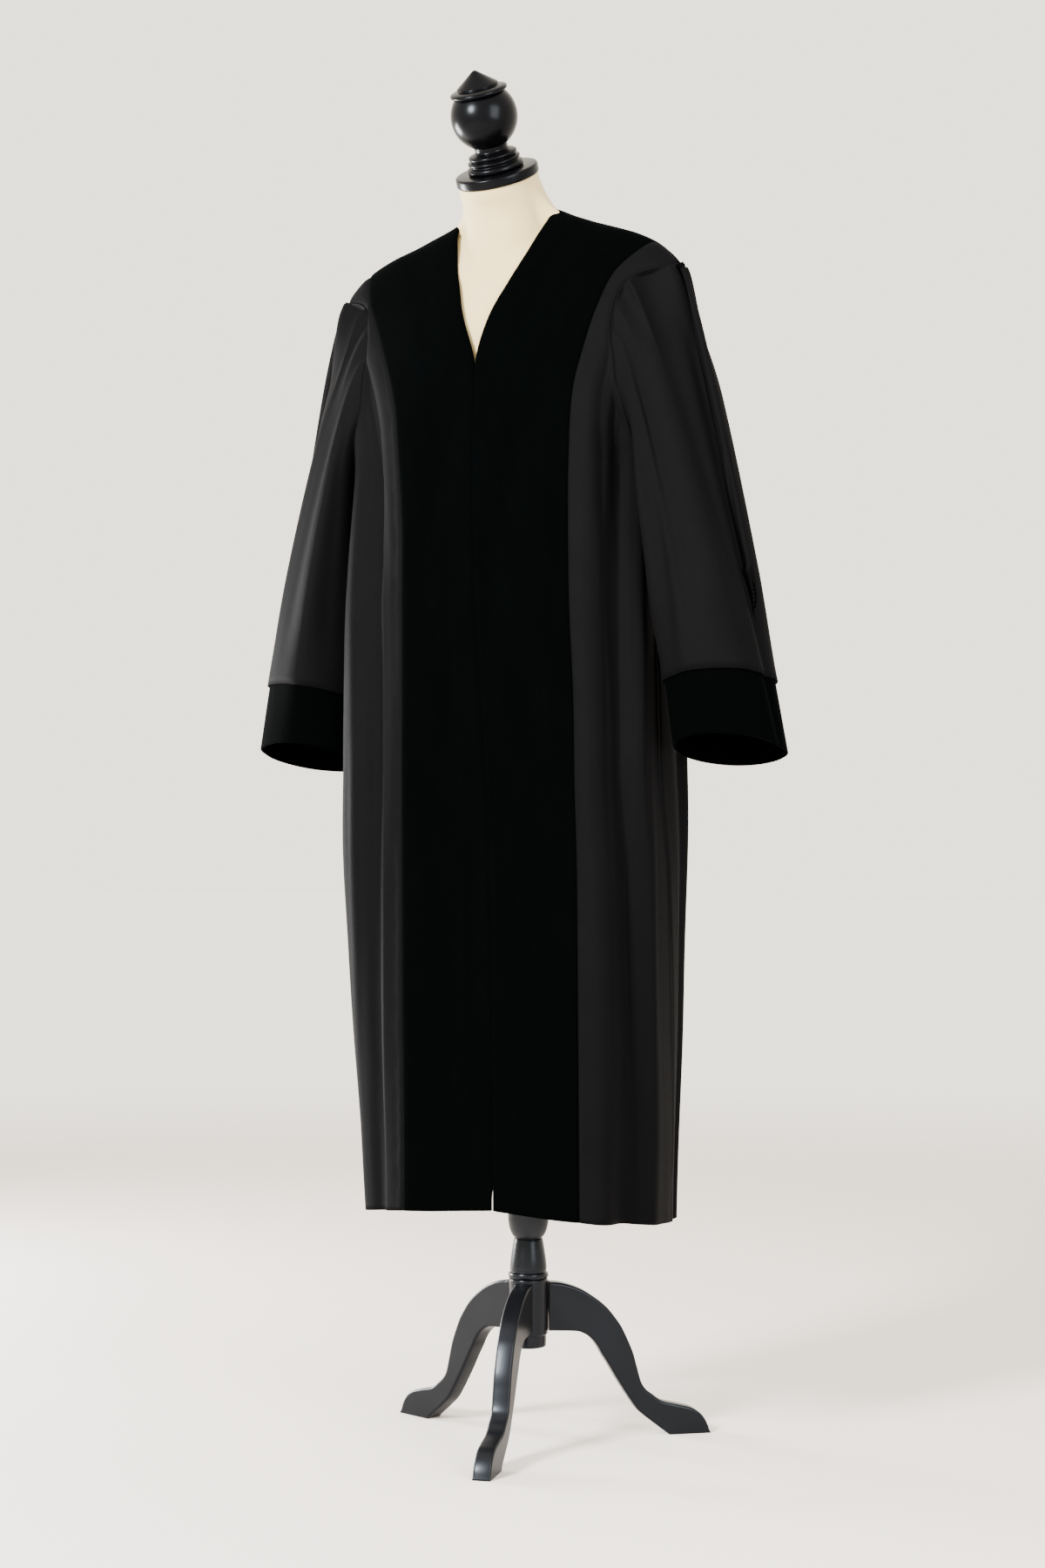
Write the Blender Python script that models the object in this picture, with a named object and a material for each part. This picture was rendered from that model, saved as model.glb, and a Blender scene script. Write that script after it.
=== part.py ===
"""Prosecutor robe worn by a limbless dress form on a turned stand with three legs.

Metres, +Z up. The robe's front faces -Y and the wearer's left is +X. Before the last
shift, the stand's column is on x = y = 0 and the feet rest on z = 0.

The robe's body is one surface: at each height a level ring round the form, given in
polar angle. Angle 0 is the centre front, 90 the wearer's left side, 180 the centre back.
Every panel is a patch of that surface, and its wall lies half on each side of it.
"""
import math

import bpy
import numpy as np

# Cloth
WOOL = 0.0020  # wall of the wool
VELVET = 0.0026  # wall of the velvet
SEAM = 0.0003  # gap between neighbouring pieces
SEAM_PULL = 0.60  # each panel draws back by this share of the gap, as folds lean the edges

# Heights of the robe's landmarks
HEM_FRONT = 0.304
HEM_SIDE = 0.282
HEM_BACK = 0.272
HEM_LEAN = 0.003  # the wearer's left side hangs higher by this, the right side lower
PARTING = 0.0036  # gap between the bands at the hem
PARTING_ROW = 0.036  # the gap closes this far up, as a share of the skirt
UNDERARM = 1.205
VEE = 1.355  # foot of the V neck
NECK = 1.531  # neck end of the shoulder ridge, and the back neckline
TIP = 1.447  # sleeve end of the shoulder ridge
BAND_TOP = 1.477  # where the velvet's outer edge meets the ridge
YOKE_SEAM = 1.392  # yoke seam at the centre back

# Rows and columns of the panels
LOWER_ROWS = 11
UPPER_ROWS = 14
VEE_ROW = 6  # upper row at the foot of the V
YOKE_ROW = 9  # upper row where the yoke starts at the armhole
ROW_CROWD = 1.7  # rows crowd towards the shoulder ridge, where the cloth turns over it
BAND_COLUMNS = 6
BACK_COLUMNS = 30
RIDGE_COLUMNS = 8  # columns of the yoke along each shoulder ridge
RIDGE_GAP = 0.0004  # the yoke stands back from the ridge by this
YOKE_GAP = 0.00036  # and above the back's top edge by this

# The body's rings. height, half width, front depth, back depth, y of the widest line,
# power of x in front, power of y in front, power of x at the back, x of the middle
BODY = np.array([
    (0.260, 0.1855, 0.113, 0.176, -0.026, 4.2, 3.0, 2.3, 0.0050),
    (0.420, 0.1950, 0.113, 0.170, -0.027, 4.4, 3.0, 2.3, 0.0035),
    (0.600, 0.2085, 0.113, 0.160, -0.029, 4.6, 3.0, 2.3, -0.0005),
    (0.820, 0.2200, 0.113, 0.150, -0.030, 4.8, 3.0, 2.3, -0.0035),
    (1.000, 0.2130, 0.113, 0.144, -0.030, 4.6, 3.0, 2.3, -0.0035),
    (1.110, 0.2075, 0.113, 0.140, -0.030, 4.4, 2.8, 2.3, -0.0030),
    (1.205, 0.2050, 0.111, 0.134, -0.031, 4.0, 2.5, 2.3, 0.0),
    (1.300, 0.2270, 0.101, 0.129, -0.037, 2.7, 2.2, 2.0, 0.0),
    (1.355, 0.2400, 0.092, 0.125, -0.041, 2.1, 2.1, 1.7, 0.0),
    (1.400, 0.2470, 0.080, 0.118, -0.045, 1.6, 2.0, 1.4, 0.0),
    (1.430, 0.2460, 0.067, 0.110, -0.047, 1.3, 2.0, 1.2, 0.0),
    (1.447, 0.2380, 0.060, 0.104, -0.047, 1.2, 2.0, 1.1, 0.0),
    (1.463, 0.2230, 0.053, 0.097, -0.047, 1.1, 2.0, 1.05, 0.0),
    (1.477, 0.2050, 0.047, 0.089, -0.046, 1.05, 2.0, 1.0, 0.0),
    (1.490, 0.1790, 0.042, 0.081, -0.045, 1.0, 2.0, 1.0, 0.0),
    (1.506, 0.1350, 0.037, 0.070, -0.042, 1.0, 2.0, 1.0, 0.0),
    (1.520, 0.0950, 0.032, 0.062, -0.040, 1.0, 2.0, 1.0, 0.0),
    (1.531, 0.0700, 0.028, 0.055, -0.039, 1.1, 2.0, 1.2, 0.0),
    (1.545, 0.0340, 0.020, 0.038, -0.039, 1.2, 2.0, 1.3, 0.0)])
BACK_POWER_Y = 2.1

# Centre front below the V. height, x
CENTRE_FRONT = np.array([
    (0.260, 0.0325), (0.710, 0.0300), (0.830, 0.0245), (0.950, 0.0155),
    (1.080, 0.0075), (1.205, 0.0050), (1.355, 0.0025)])

# V neck. height, distance of the edge from x = 0
VEE_EDGE = np.array([
    (1.355, 0.0025), (1.390, 0.0180), (1.438, 0.0370), (1.485, 0.0545), (1.531, 0.0700)])

# Outer edge of the velvet. height, distance on the wearer's left, on the wearer's right
BAND_EDGE = np.array([
    (0.260, 0.1455, 0.0985), (0.700, 0.1475, 0.0975), (0.820, 0.1450, 0.0970),
    (0.925, 0.1430, 0.0970), (1.030, 0.1375, 0.0975), (1.150, 0.1350, 0.0985),
    (1.240, 0.1345, 0.1080), (1.300, 0.1375, 0.1190), (1.345, 0.1465, 0.1360),
    (1.400, 0.1590, 0.1640), (1.441, 0.1730, 0.1880), (1.477, 0.2050, 0.2050)])

# Side seam. height, angle in degrees
SIDE_SEAM = np.array([
    (0.260, 109.0), (0.400, 107.0), (0.550, 99.0), (0.700, 91.0), (0.850, 84.0),
    (1.000, 85.0), (1.205, 88.0)])

# Armhole. share of the way from underarm to shoulder tip, height, front angle, back angle
ARMHOLE = np.array([
    (0.00, 1.205, 88.0, 88.0), (0.20, 1.228, 77.0, 101.0), (0.40, 1.283, 70.5, 108.0),
    (0.60, 1.342, 70.0, 109.0), (0.80, 1.402, 74.5, 104.0), (0.92, 1.435, 81.5, 97.0),
    (1.00, 1.447, 90.0, 90.0)])
ARMHOLE_CROWD = 1.38  # knots crowd towards the tip, where the pleats are

# Columns of the side fronts, from the velvet to the side seam. Share of the panel's width
# at the hem and at the underarm, fold's height out of the surface
COLUMNS_LEFT = np.array([
    (0.000, 0.000, 0.000), (0.055, 0.090, 0.003), (0.110, 0.190, 0.006),
    (0.155, 0.270, 0.001), (0.190, 0.340, -0.012), (0.240, 0.420, -0.004),
    (0.320, 0.520, 0.004), (0.440, 0.620, 0.006), (0.580, 0.720, 0.003),
    (0.720, 0.820, -0.004), (0.860, 0.910, 0.001), (1.000, 1.000, 0.000)])
COLUMNS_RIGHT = np.array([
    (0.000, 0.000, 0.000), (0.070, 0.100, 0.002), (0.130, 0.190, 0.004),
    (0.170, 0.250, -0.008), (0.220, 0.320, -0.005), (0.290, 0.410, 0.003),
    (0.370, 0.500, 0.008), (0.470, 0.600, 0.006), (0.600, 0.710, -0.002),
    (0.730, 0.810, -0.005), (0.870, 0.910, 0.001), (1.000, 1.000, 0.000)])
FOLDS_FADE = (1.370, 1.190)  # the fronts' folds open from the first height down to the second
BAND_WAVE = 0.003  # each velvet band is a little hollow between its edges

# Gathers of the back: a ridge on every second column, unevenly deep and spaced
GATHER_DEPTH = 0.0075
GATHER_VARY = 0.35
GATHER_STRAY = 0.010  # columns stray by this share of the back's width
GATHER_FADE = 0.05  # height under the yoke seam over which they open
GATHER_TOP = 0.40  # their depth just under the yoke, as a share of the depth further down
GATHER_LENGTH = 0.45  # height over which they deepen
GATHER_CALM = 4.5  # columns from the side seam over which they deepen
TURN_STEP = 0.5  # degrees and metres over which the surface's slope is taken
RISE_STEP = 0.002

# The sleeve's end rings, at the cuff's top and foot. height, x and y of the centre, half
# width inside and outside, half depth in front and behind
CUFF_TOP = (0.947, 0.2850, -0.040, 0.0590, 0.0700, 0.0700, 0.0620)
CUFF_FOOT = (0.8585, 0.3000, -0.040, 0.0680, 0.0760, 0.0640, 0.0600)
CUFF_TOP_RISE = (0.11, -0.20)  # rise of the ring per metre of x and of y
CUFF_FOOT_RISE = (0.04, -0.28)
SLEEVE_ROWS = 15
HEAD_ROWS = (0.0, 0.014, 0.035)  # first rows, close together along the armhole seam
# Ways in which the sleeve leaves the armhole: at its side, at the shoulder tip, underarm
SLEEVE_WAY_SIDE = (1.0, -0.1, -0.35)
SLEEVE_WAY_TIP = (0.8, -0.2, -0.85)
SLEEVE_WAY_UNDER = (0.30, 0.0, -1.0)
SLEEVE_SQUARE = 0.85  # share of that way's lean along the seam that is taken out
SLEEVE_STRAIGHT = 0.9  # reach of the sleeve's last direction, as a share of its length
FOLD_OPENS = 0.3  # share of the length over which a fold deepens
FOLD_FADES = (0.75, 1.0, 0.55)  # between these shares a fold loses this share of its height
SLEEVE_BULGE = 0.10  # reach of the sleeve's first direction
SLEEVE_OFF = 0.0005  # more than the seam's gap, as the sleeve leaves the armhole at a slant
SLEEVE_UP = 0.0009  # where it doubles back over the body's edge, it lies this much higher
CUFF_LAP = 0.010  # how far the sleeve runs on under the cuff
CUFF_ROWS = 3
CUFF_SMOOTHS = 0.5  # share of the folds' height lost down to the cuff's foot
CUFF_OFF = 0.0009  # gap between the sleeve and the cuff laid on it

# Folds of a sleeve. angle round it in degrees (0 outer, 90 front, 180 inner) at the head
# and at the cuff, half width in degrees, height, share of the length where it starts
SLEEVE_FOLDS = np.array([
    (2.0, 6.0, 9.0, 0.007, 0.10),
    (-24.0, -22.0, 14.0, -0.007, 0.12),
    (30.0, 34.0, 13.0, -0.005, 0.15),
    (62.0, 66.0, 13.0, 0.007, 0.12),
    (100.0, 98.0, 12.0, -0.007, 0.20),
    (-60.0, -62.0, 16.0, 0.006, 0.18),
    (-100.0, -104.0, 14.0, -0.005, 0.25)])
PLEAT_DEPTH = 0.0042  # each pleat of the sleeve head is a ridge between two valleys
PLEAT_VALLEY = 0.7  # depth of the valleys as a share of the ridges' height
PLEAT_FULL = 0.05  # shares of the length between which the pleats flatten out
PLEAT_REACH = 0.30
PLEAT_SPAN = 6  # knots each side of the tip that are pleated

# Dress form
TORSO_FOOT = 0.760
TORSO_COLUMNS = 28
# height, how far the form lies inside the robe's surface
TORSO_INSET = np.array([
    (0.760, 0.060), (0.780, 0.046), (0.830, 0.036), (0.920, 0.036), (1.000, 0.042),
    (1.100, 0.036), (1.205, 0.022), (1.300, 0.012), (1.380, 0.0085), (1.418, 0.0080),
    (1.440, 0.0072), (1.457, 0.0036), (1.468, 0.0035), (1.480, 0.0050), (1.495, 0.0068),
    (1.531, 0.0080)])
TORSO_RINGS = (TORSO_FOOT, 0.785, 0.840, 0.920, 1.010, 1.100, 1.180, 1.250, 1.305, 1.350, 1.388,
               1.418, 1.440, 1.457, 1.472, 1.486, 1.499, 1.511, 1.522)
# Neck. height, radius, y of its centre
NECK_RINGS = np.array([
    (1.400, 0.040, -0.050), (1.450, 0.052, -0.044), (1.485, 0.0560, -0.0410),
    (1.511, 0.0555, -0.0435), (1.521, 0.0550, -0.0450), (1.532, 0.0545, -0.0480),
    (1.545, 0.0530, -0.0540)])
NECK_SOFT = 0.006  # how softly the neck flows into the shoulders
NECK_FROM = 1.43  # below this height the rings hold no neck
NECK_TILT = (1.52, 1.56, 0.30)  # the neck's rings tip forward between these heights, up to this
NECK_TOP = ((0.010, 0.0505), (0.0, 0.0490))  # last rings: distance under the cap, radius

# Cap and finial, along an axis that leans forward
CAP_CENTRE = (0.001, -0.080, 1.5837)  # middle of the cap's upper face
CAP_AXIS = (0.030, -0.472, 0.881)
CAP_RADIUS = 0.0523
CAP_THICK = 0.0125
CAP_EDGE = 0.0015
CAP_STEPS = 36
# height over the cap, radius
FINIAL = np.array([
    (0.0000, 0.0335), (0.0012, 0.0350), (0.0066, 0.0350), (0.0080, 0.0335),
    (0.0090, 0.0312), (0.0104, 0.0312), (0.0112, 0.0328), (0.0140, 0.0328),
    (0.0150, 0.0300), (0.0158, 0.0280), (0.0172, 0.0300), (0.0192, 0.0306),
    (0.0212, 0.0298), (0.0226, 0.0268), (0.0240, 0.0216), (0.0268, 0.0205),
    (0.0296, 0.0213)])
BALL_CENTRE = 0.0668
BALL_RADIUS = 0.0415
BALL_ARC = (-1.04, 0.70)  # radians from the ball's middle, down and up
BALL_STEPS = 11
FINIAL_TOP = np.array([
    (0.0945, 0.0315), (0.0952, 0.0345), (0.0968, 0.0357), (0.0988, 0.0357),
    (0.1004, 0.0345), (0.1018, 0.0300), (0.1024, 0.0262), (0.1034, 0.0256),
    (0.1046, 0.0262), (0.1056, 0.0256), (0.1150, 0.0130), (0.1222, 0.0034),
    (0.1236, 0.0012)])
TURNED_STEPS = 20

# Column, from its foot on the hub to the torso. height, radius
COLUMN = np.array([
    (0.2023, 0.0215), (0.2030, 0.0240), (0.2046, 0.0250), (0.2082, 0.0250),
    (0.2098, 0.0240), (0.2106, 0.0224), (0.2112, 0.0226), (0.2150, 0.0233),
    (0.2330, 0.0212), (0.2520, 0.0180), (0.2530, 0.0172), (0.2540, 0.0184),
    (0.2580, 0.0212), (0.2660, 0.0240), (0.2760, 0.0254), (0.2880, 0.0252),
    (0.3000, 0.0232), (0.3120, 0.0200), (0.3200, 0.0172), (0.3220, 0.0190),
    (0.3260, 0.0200), (0.3300, 0.0190), (0.3320, 0.0165), (0.3600, 0.0160),
    (0.7200, 0.0150), (0.7220, 0.0260), (0.7260, 0.0280), (0.7560, 0.0280)])
# Hub with its plug. height, radius
HUB = np.array([
    (0.1163, 0.0200), (0.1180, 0.0225), (0.1318, 0.0225), (0.1320, 0.0232),
    (0.1332, 0.0245), (0.2008, 0.0245), (0.2019, 0.0236)])

# Legs
LEG_ANGLES = (17.0, 133.0, 254.0)  # from -Y towards +X
LEG_THICK = 0.0225
LEG_BEVEL = 0.0016
LEG_CORNER = 60.0  # edges that turn by more than this are eased
HUB_CLEAR = 0.0248
# distance from the column, height, round the leg's outline
LEG_TOP = np.array([
    (HUB_CLEAR, 0.1975), (0.0450, 0.1945), (0.0670, 0.1864), (0.0860, 0.1745),
    (0.0998, 0.1627), (0.1110, 0.1490), (0.1198, 0.1357), (0.1325, 0.1079),
    (0.1385, 0.0870), (0.1442, 0.0675), (0.1505, 0.0580), (0.1595, 0.0510),
    (0.1720, 0.0425), (0.1955, 0.0365), (0.2110, 0.0320), (0.2225, 0.0240),
    (0.2300, 0.0130), (0.2345, 0.0000)])
LEG_UNDER = np.array([
    (0.1800, 0.0000), (0.1527, 0.0210), (0.1400, 0.0320), (0.1292, 0.0465),
    (0.1200, 0.0605), (0.1116, 0.0738), (0.1015, 0.0910), (0.0930, 0.1044),
    (0.0870, 0.1150), (0.0789, 0.1249), (0.0690, 0.1315), (0.0580, 0.1345),
    (HUB_CLEAR, 0.1363)])

# The whole object moves by this, so that its box is centred on the origin
SHIFT = (0.0, 0.0300, 0.0)


def read_table(table, column, at):
    """Value of a column at the given first-column values, on a smooth curve through the rows."""
    knots, values = table[:, 0], table[:, column]
    steps = np.diff(values) / np.diff(knots)
    slopes = np.empty(len(knots))
    slopes[1:-1] = (steps[1:] + steps[:-1]) / 2
    flat = steps[1:] * steps[:-1] <= 0
    slopes[1:-1][flat] = 0
    slopes[0], slopes[-1] = steps[0], steps[-1]
    at = np.asarray(at, float)
    i = np.clip(np.searchsorted(knots, at) - 1, 0, len(knots) - 2)
    span = knots[i + 1] - knots[i]
    t = np.clip((at - knots[i]) / span, 0, 1)
    return ((2 * t ** 3 - 3 * t ** 2 + 1) * values[i] + (t ** 3 - 2 * t ** 2 + t) * span * slopes[i]
            + (3 * t ** 2 - 2 * t ** 3) * values[i + 1] + (t ** 3 - t ** 2) * span * slopes[i + 1])


def smooth(low, high, at):
    """0 below low, 1 above high, an even ramp between."""
    t = np.clip((np.asarray(at, float) - low) / (high - low), 0, 1)
    return t * t * (3 - 2 * t)


def unit(vectors):
    return vectors / np.maximum(np.linalg.norm(vectors, axis=-1, keepdims=True), 1e-12)


def ring_radius(angle, z):
    """Distance of the body's ring from its centre line, at angles in degrees."""
    turn = np.radians(angle)
    across, along = np.abs(np.sin(turn)), np.abs(np.cos(turn))
    front = np.cos(turn) > 0
    width = read_table(BODY, 1, z)
    depth = np.where(front, read_table(BODY, 2, z), read_table(BODY, 3, z))
    power_x = np.where(front, read_table(BODY, 5, z), read_table(BODY, 7, z))
    power_y = np.where(front, read_table(BODY, 6, z), BACK_POWER_Y)
    low, high = np.zeros_like(width + angle), np.full_like(width + angle, 0.4)
    for _ in range(44):
        r = (low + high) / 2
        inside = (r * across / width) ** power_x + (r * along / depth) ** power_y < 1
        low, high = np.where(inside, r, low), np.where(inside, high, r)
    return (low + high) / 2


def body_point(angle, z):
    """A point of the body's surface, without folds."""
    r, turn = ring_radius(angle, z), np.radians(angle)
    return np.stack([read_table(BODY, 8, z) + r * np.sin(turn),
                     read_table(BODY, 4, z) - r * np.cos(turn), z], -1)


def body(angle, z):
    """The body's surface without folds, and its outward normal."""
    angle, z = np.broadcast_arrays(np.asarray(angle, float), np.asarray(z, float))
    level = body_point(angle + TURN_STEP, z) - body_point(angle - TURN_STEP, z)
    above = np.minimum(z + RISE_STEP, BODY[-1, 0])
    rise = body_point(angle, above) - body_point(angle, z - RISE_STEP)
    return body_point(angle, z), unit(np.cross(level, rise))


def column_shares(table, z):
    """Shares of a side front's width at which its columns stand, by height: last axis columns."""
    rise = smooth(HEM_FRONT, UNDERARM, z)[..., None]
    return table[:, 0] + (table[:, 1] - table[:, 0]) * rise


def back_share(column):
    """Share of the back's width at which a column stands, with its stray."""
    share = column / BACK_COLUMNS
    return share + GATHER_STRAY * np.sin(2 * math.pi * share) * np.sin(17 * share)


def gathers(z):
    """Fold heights of the back, by height and column: they open out under the yoke seam."""
    column = np.arange(BACK_COLUMNS + 1)
    from_seam = np.minimum(column, BACK_COLUMNS - column)
    vary = 1 + GATHER_VARY * np.sin(column * 1.9 + 2.0)
    spread = GATHER_TOP + (1 - GATHER_TOP) * smooth(YOKE_SEAM, YOKE_SEAM - GATHER_LENGTH, z)
    open_out = smooth(z[-1], z[-1] - GATHER_FADE, z)
    return (GATHER_DEPTH * np.where(column % 2 == 0, -1, 1) * vary
            * smooth(0, GATHER_CALM, from_seam) * spread * open_out)


def angle_at(x, z):
    """Angle, in degrees, of the front surface at a given x, on the side of its sign."""
    x = x - read_table(BODY, 8, z)
    share = np.clip(np.abs(x) / read_table(BODY, 1, z), 0, 1) ** read_table(BODY, 5, z)
    y = read_table(BODY, 2, z) * (1 - share) ** (1 / read_table(BODY, 6, z))
    return np.degrees(np.arctan2(x, y))


def back_angle_at(x, z):
    """Angle of the back surface at a given x, from 90 on the left to 270 on the right."""
    share = np.clip(np.abs(x) / read_table(BODY, 1, z), 0, 1) ** read_table(BODY, 7, z)
    y = read_table(BODY, 3, z) * (1 - share) ** (1 / BACK_POWER_Y)
    return 180 - np.degrees(np.arctan2(x, y))


def hem_height(angle):
    """The hem is pulled up a little in front and hangs lower behind."""
    turn = np.radians(angle)
    side = (HEM_FRONT + HEM_BACK) / 2 + (HEM_FRONT - HEM_BACK) / 2 * np.cos(turn)
    return (side + (HEM_SIDE - (HEM_FRONT + HEM_BACK) / 2) * np.sin(turn) ** 2
            + HEM_LEAN * np.sin(turn))


def wall_mesh(outer, inner, wraps):
    """Points and faces of a closed wall between two grids. Rows run up, columns to the left.

    Both grids are cut along the same diagonals, so that a twisted wall keeps its thickness.
    """
    rows, columns = outer.shape[:2]
    points = np.concatenate([outer.reshape(-1, 3), inner.reshape(-1, 3)])
    back = rows * columns

    def near(i, j):
        return i * columns + j % columns

    faces = []
    for i in range(rows - 1):
        for j in range(columns if wraps else columns - 1):
            a, b, c, d = near(i, j), near(i, j + 1), near(i + 1, j + 1), near(i + 1, j)
            for p, q, r in ((a, b, c), (a, c, d)):
                faces.append((p, q, r))
                faces.append((back + r, back + q, back + p))
    for j in range(columns if wraps else columns - 1):
        a, b = near(0, j), near(0, j + 1)
        faces.append((back + a, back + b, b, a))
        a, b = near(rows - 1, j), near(rows - 1, j + 1)
        faces.append((a, b, back + b, back + a))
    if not wraps:
        for i in range(rows - 1):
            a, b = near(i, 0), near(i + 1, 0)
            faces.append((a, b, back + b, back + a))
            a, b = near(i, columns - 1), near(i + 1, columns - 1)
            faces.append((back + a, back + b, b, a))
    return points, faces


def make_material(name, colour, roughness, metallic=0.0):
    material = bpy.data.materials.new(name)
    material.use_nodes = True
    shader = material.node_tree.nodes["Principled BSDF"]
    shader.inputs["Base Color"].default_value = (*colour, 1.0)
    shader.inputs["Roughness"].default_value = roughness
    shader.inputs["Metallic"].default_value = metallic
    return material


def add_object(name, points, faces, material, soft=True):
    """One named object, carried by the root."""
    mesh = bpy.data.meshes.new(name)
    mesh.from_pydata([tuple(map(float, p)) for p in points], [], [tuple(map(int, f)) for f in faces])
    mesh.polygons.foreach_set("use_smooth", [soft] * len(mesh.polygons))
    mesh.materials.append(material)
    thing = bpy.data.objects.new(name, mesh)
    bpy.context.collection.objects.link(thing)
    thing.parent = root
    return thing


def inward(edge, next_column):
    """Unit vectors from an upright edge into its panel, square to the edge."""
    along = unit(np.gradient(edge, axis=0))
    into = next_column - edge
    return unit(into - along * np.sum(into * along, axis=-1, keepdims=True))


def add_panel(name, angles, heights, lift, thick, material, part_first=0.0, part_last=0.0):
    """A panel of the body: its wall lies half on each side of the body's surface.

    Lift is the folds' height over that surface. The first and last columns draw back from
    the seams, and more at the hem where the panel parts from its neighbour. Along seams the
    wall follows the body's normal, elsewhere its own. Thick cloth stands further out.
    """
    middle, out = body(angles, heights)
    middle = middle + out * np.broadcast_to(lift, heights.shape)[..., None]
    own = unit(np.cross(np.gradient(middle, axis=1), np.gradient(middle, axis=0)))
    out[:-1, 1:-1] = own[:-1, 1:-1]
    first, last = inward(middle[:, 0], middle[:, 1]), inward(middle[:, -1], middle[:, -2])
    middle[:, 0] += first * SEAM * SEAM_PULL
    middle[:, -1] += last * SEAM * SEAM_PULL
    middle[0, 0] += first[0] * part_first
    middle[0, -1] += last[0] * part_last
    return add_object(name, *wall_mesh(middle + out * (thick - WOOL / 2), middle - out * WOOL / 2,
                                       False), material)


def turned(name, profile, material, centre=(0, 0, 0), axis=(0, 0, 1), steps=TURNED_STEPS):
    """A solid of revolution from (height, radius) rows, along any axis."""
    axis = unit(np.array(axis, float))
    side = unit(np.cross((0.0, 1.0, 0.0), axis))
    other = np.cross(axis, side)
    turn = np.arange(steps) * 2 * math.pi / steps
    spokes = np.cos(turn)[:, None] * side + np.sin(turn)[:, None] * other
    rings = profile[:, None, :1] * axis + profile[:, None, 1:] * spokes + np.array(centre)
    count = len(profile)
    faces = [(i * steps + j, i * steps + (j + 1) % steps, (i + 1) * steps + (j + 1) % steps,
              (i + 1) * steps + j) for i in range(count - 1) for j in range(steps)]
    faces.append(tuple(reversed(range(steps))))
    faces.append(tuple((count - 1) * steps + j for j in range(steps)))
    return add_object(name, rings.reshape(-1, 3), faces, material)


for old in list(bpy.data.objects):
    bpy.data.objects.remove(old, do_unlink=True)

root = bpy.data.objects.new("root", None)
bpy.context.collection.objects.link(root)
root.location = SHIFT

robe_wool = make_material("robe_wool", (0.012, 0.012, 0.013), 0.75)
velvet = make_material("velvet", (0.002, 0.003, 0.003), 0.95)
form_jersey = make_material("form_jersey", (0.72, 0.62, 0.47), 0.85)
black_wood = make_material("black_wood", (0.010, 0.010, 0.011), 0.25)

# Rows shared by all panels: lower rows from hem to underarm, upper rows to the ridge
lower = np.concatenate([[0], np.linspace(PARTING_ROW, 1, LOWER_ROWS)])
knot = np.arange(UPPER_ROWS + 1) / UPPER_ROWS
knot_share = 1 - (1 - knot) ** ARMHOLE_CROWD


def edge_rows(low_angle, upper_z, upper_angle):
    """Heights and angles of a panel's upright edge: rows below the underarm, then above it."""
    hem = hem_height(low_angle(np.array([HEM_FRONT]))[0])
    z_low = hem + (UNDERARM - hem) * lower
    return np.concatenate([low_angle(z_low), upper_angle[1:]]), np.concatenate([z_low, upper_z[1:]])


below_vee = np.linspace(UNDERARM, VEE, VEE_ROW + 1)
above_vee = np.arange(1, UPPER_ROWS - VEE_ROW + 1) / (UPPER_ROWS - VEE_ROW)
vee_z = np.concatenate([below_vee, VEE + (NECK - VEE) * (1 - (1 - above_vee) ** ROW_CROWD)])
band_z = UNDERARM + (BAND_TOP - UNDERARM) * knot_share
arm_z = read_table(ARMHOLE, 1, knot_share)
arm_front = read_table(ARMHOLE, 2, knot_share)
arm_back = read_table(ARMHOLE, 3, knot_share)

columns = {}
for side, name in ((1, "left"), (-1, "right")):
    edge = 1 if side > 0 else 2
    upper_x = np.where(vee_z > VEE, read_table(VEE_EDGE, 1, vee_z) * side,
                       read_table(CENTRE_FRONT, 1, vee_z))
    upper_angle = angle_at(upper_x, vee_z)
    upper_angle[-1] = 90.0 * side
    columns[name, "centre"] = edge_rows(lambda z: angle_at(read_table(CENTRE_FRONT, 1, z), z),
                                        vee_z, upper_angle)
    upper_angle = angle_at(read_table(BAND_EDGE, edge, band_z) * side, band_z)
    upper_angle[-1] = 90.0 * side
    columns[name, "band"] = edge_rows(
        lambda z: angle_at(read_table(BAND_EDGE, edge, z) * side, z), band_z, upper_angle)
    columns[name, "seam"] = edge_rows(lambda z: read_table(SIDE_SEAM, 1, z) * side, arm_z,
                                      arm_front * side)


def between(first, last, share):
    """Angles and heights of a patch, its columns at the given shares from edge to edge."""
    return (first[0][:, None] * (1 - share) + last[0][:, None] * share,
            first[1][:, None] * (1 - share) + last[1][:, None] * share)


# Velvet bands and wool side fronts
even = np.linspace(0, 1, BAND_COLUMNS + 1)[None, :]
hollow = -BAND_WAVE * np.sin(math.pi * even) ** 2
for side, name, table in ((1, "left", COLUMNS_LEFT), (-1, "right", COLUMNS_RIGHT)):
    centre, band, seam = (columns[name, edge] for edge in ("centre", "band", "seam"))
    stands = column_shares(table, np.minimum(seam[1], UNDERARM))
    if side > 0:
        angles, heights = between(centre, band, even)
        wave = hollow * smooth(*FOLDS_FADE, heights)
        add_panel("velvet_left", angles, heights, wave, VELVET, velvet, part_first=PARTING / 2)
        angles, heights = between(band, seam, stands)
        lift = table[:, 2] * smooth(*FOLDS_FADE, heights)
    else:
        angles, heights = between(band, centre, even)
        wave = hollow * smooth(*FOLDS_FADE, heights)
        add_panel("velvet_right", angles, heights, wave, VELVET, velvet, part_last=PARTING / 2)
        angles, heights = between(seam, band, 1 - stands[:, ::-1])
        lift = table[::-1, 2] * smooth(*FOLDS_FADE, heights)
    add_panel(f"front_{name}", angles, heights, lift, WOOL, robe_wool)

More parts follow.
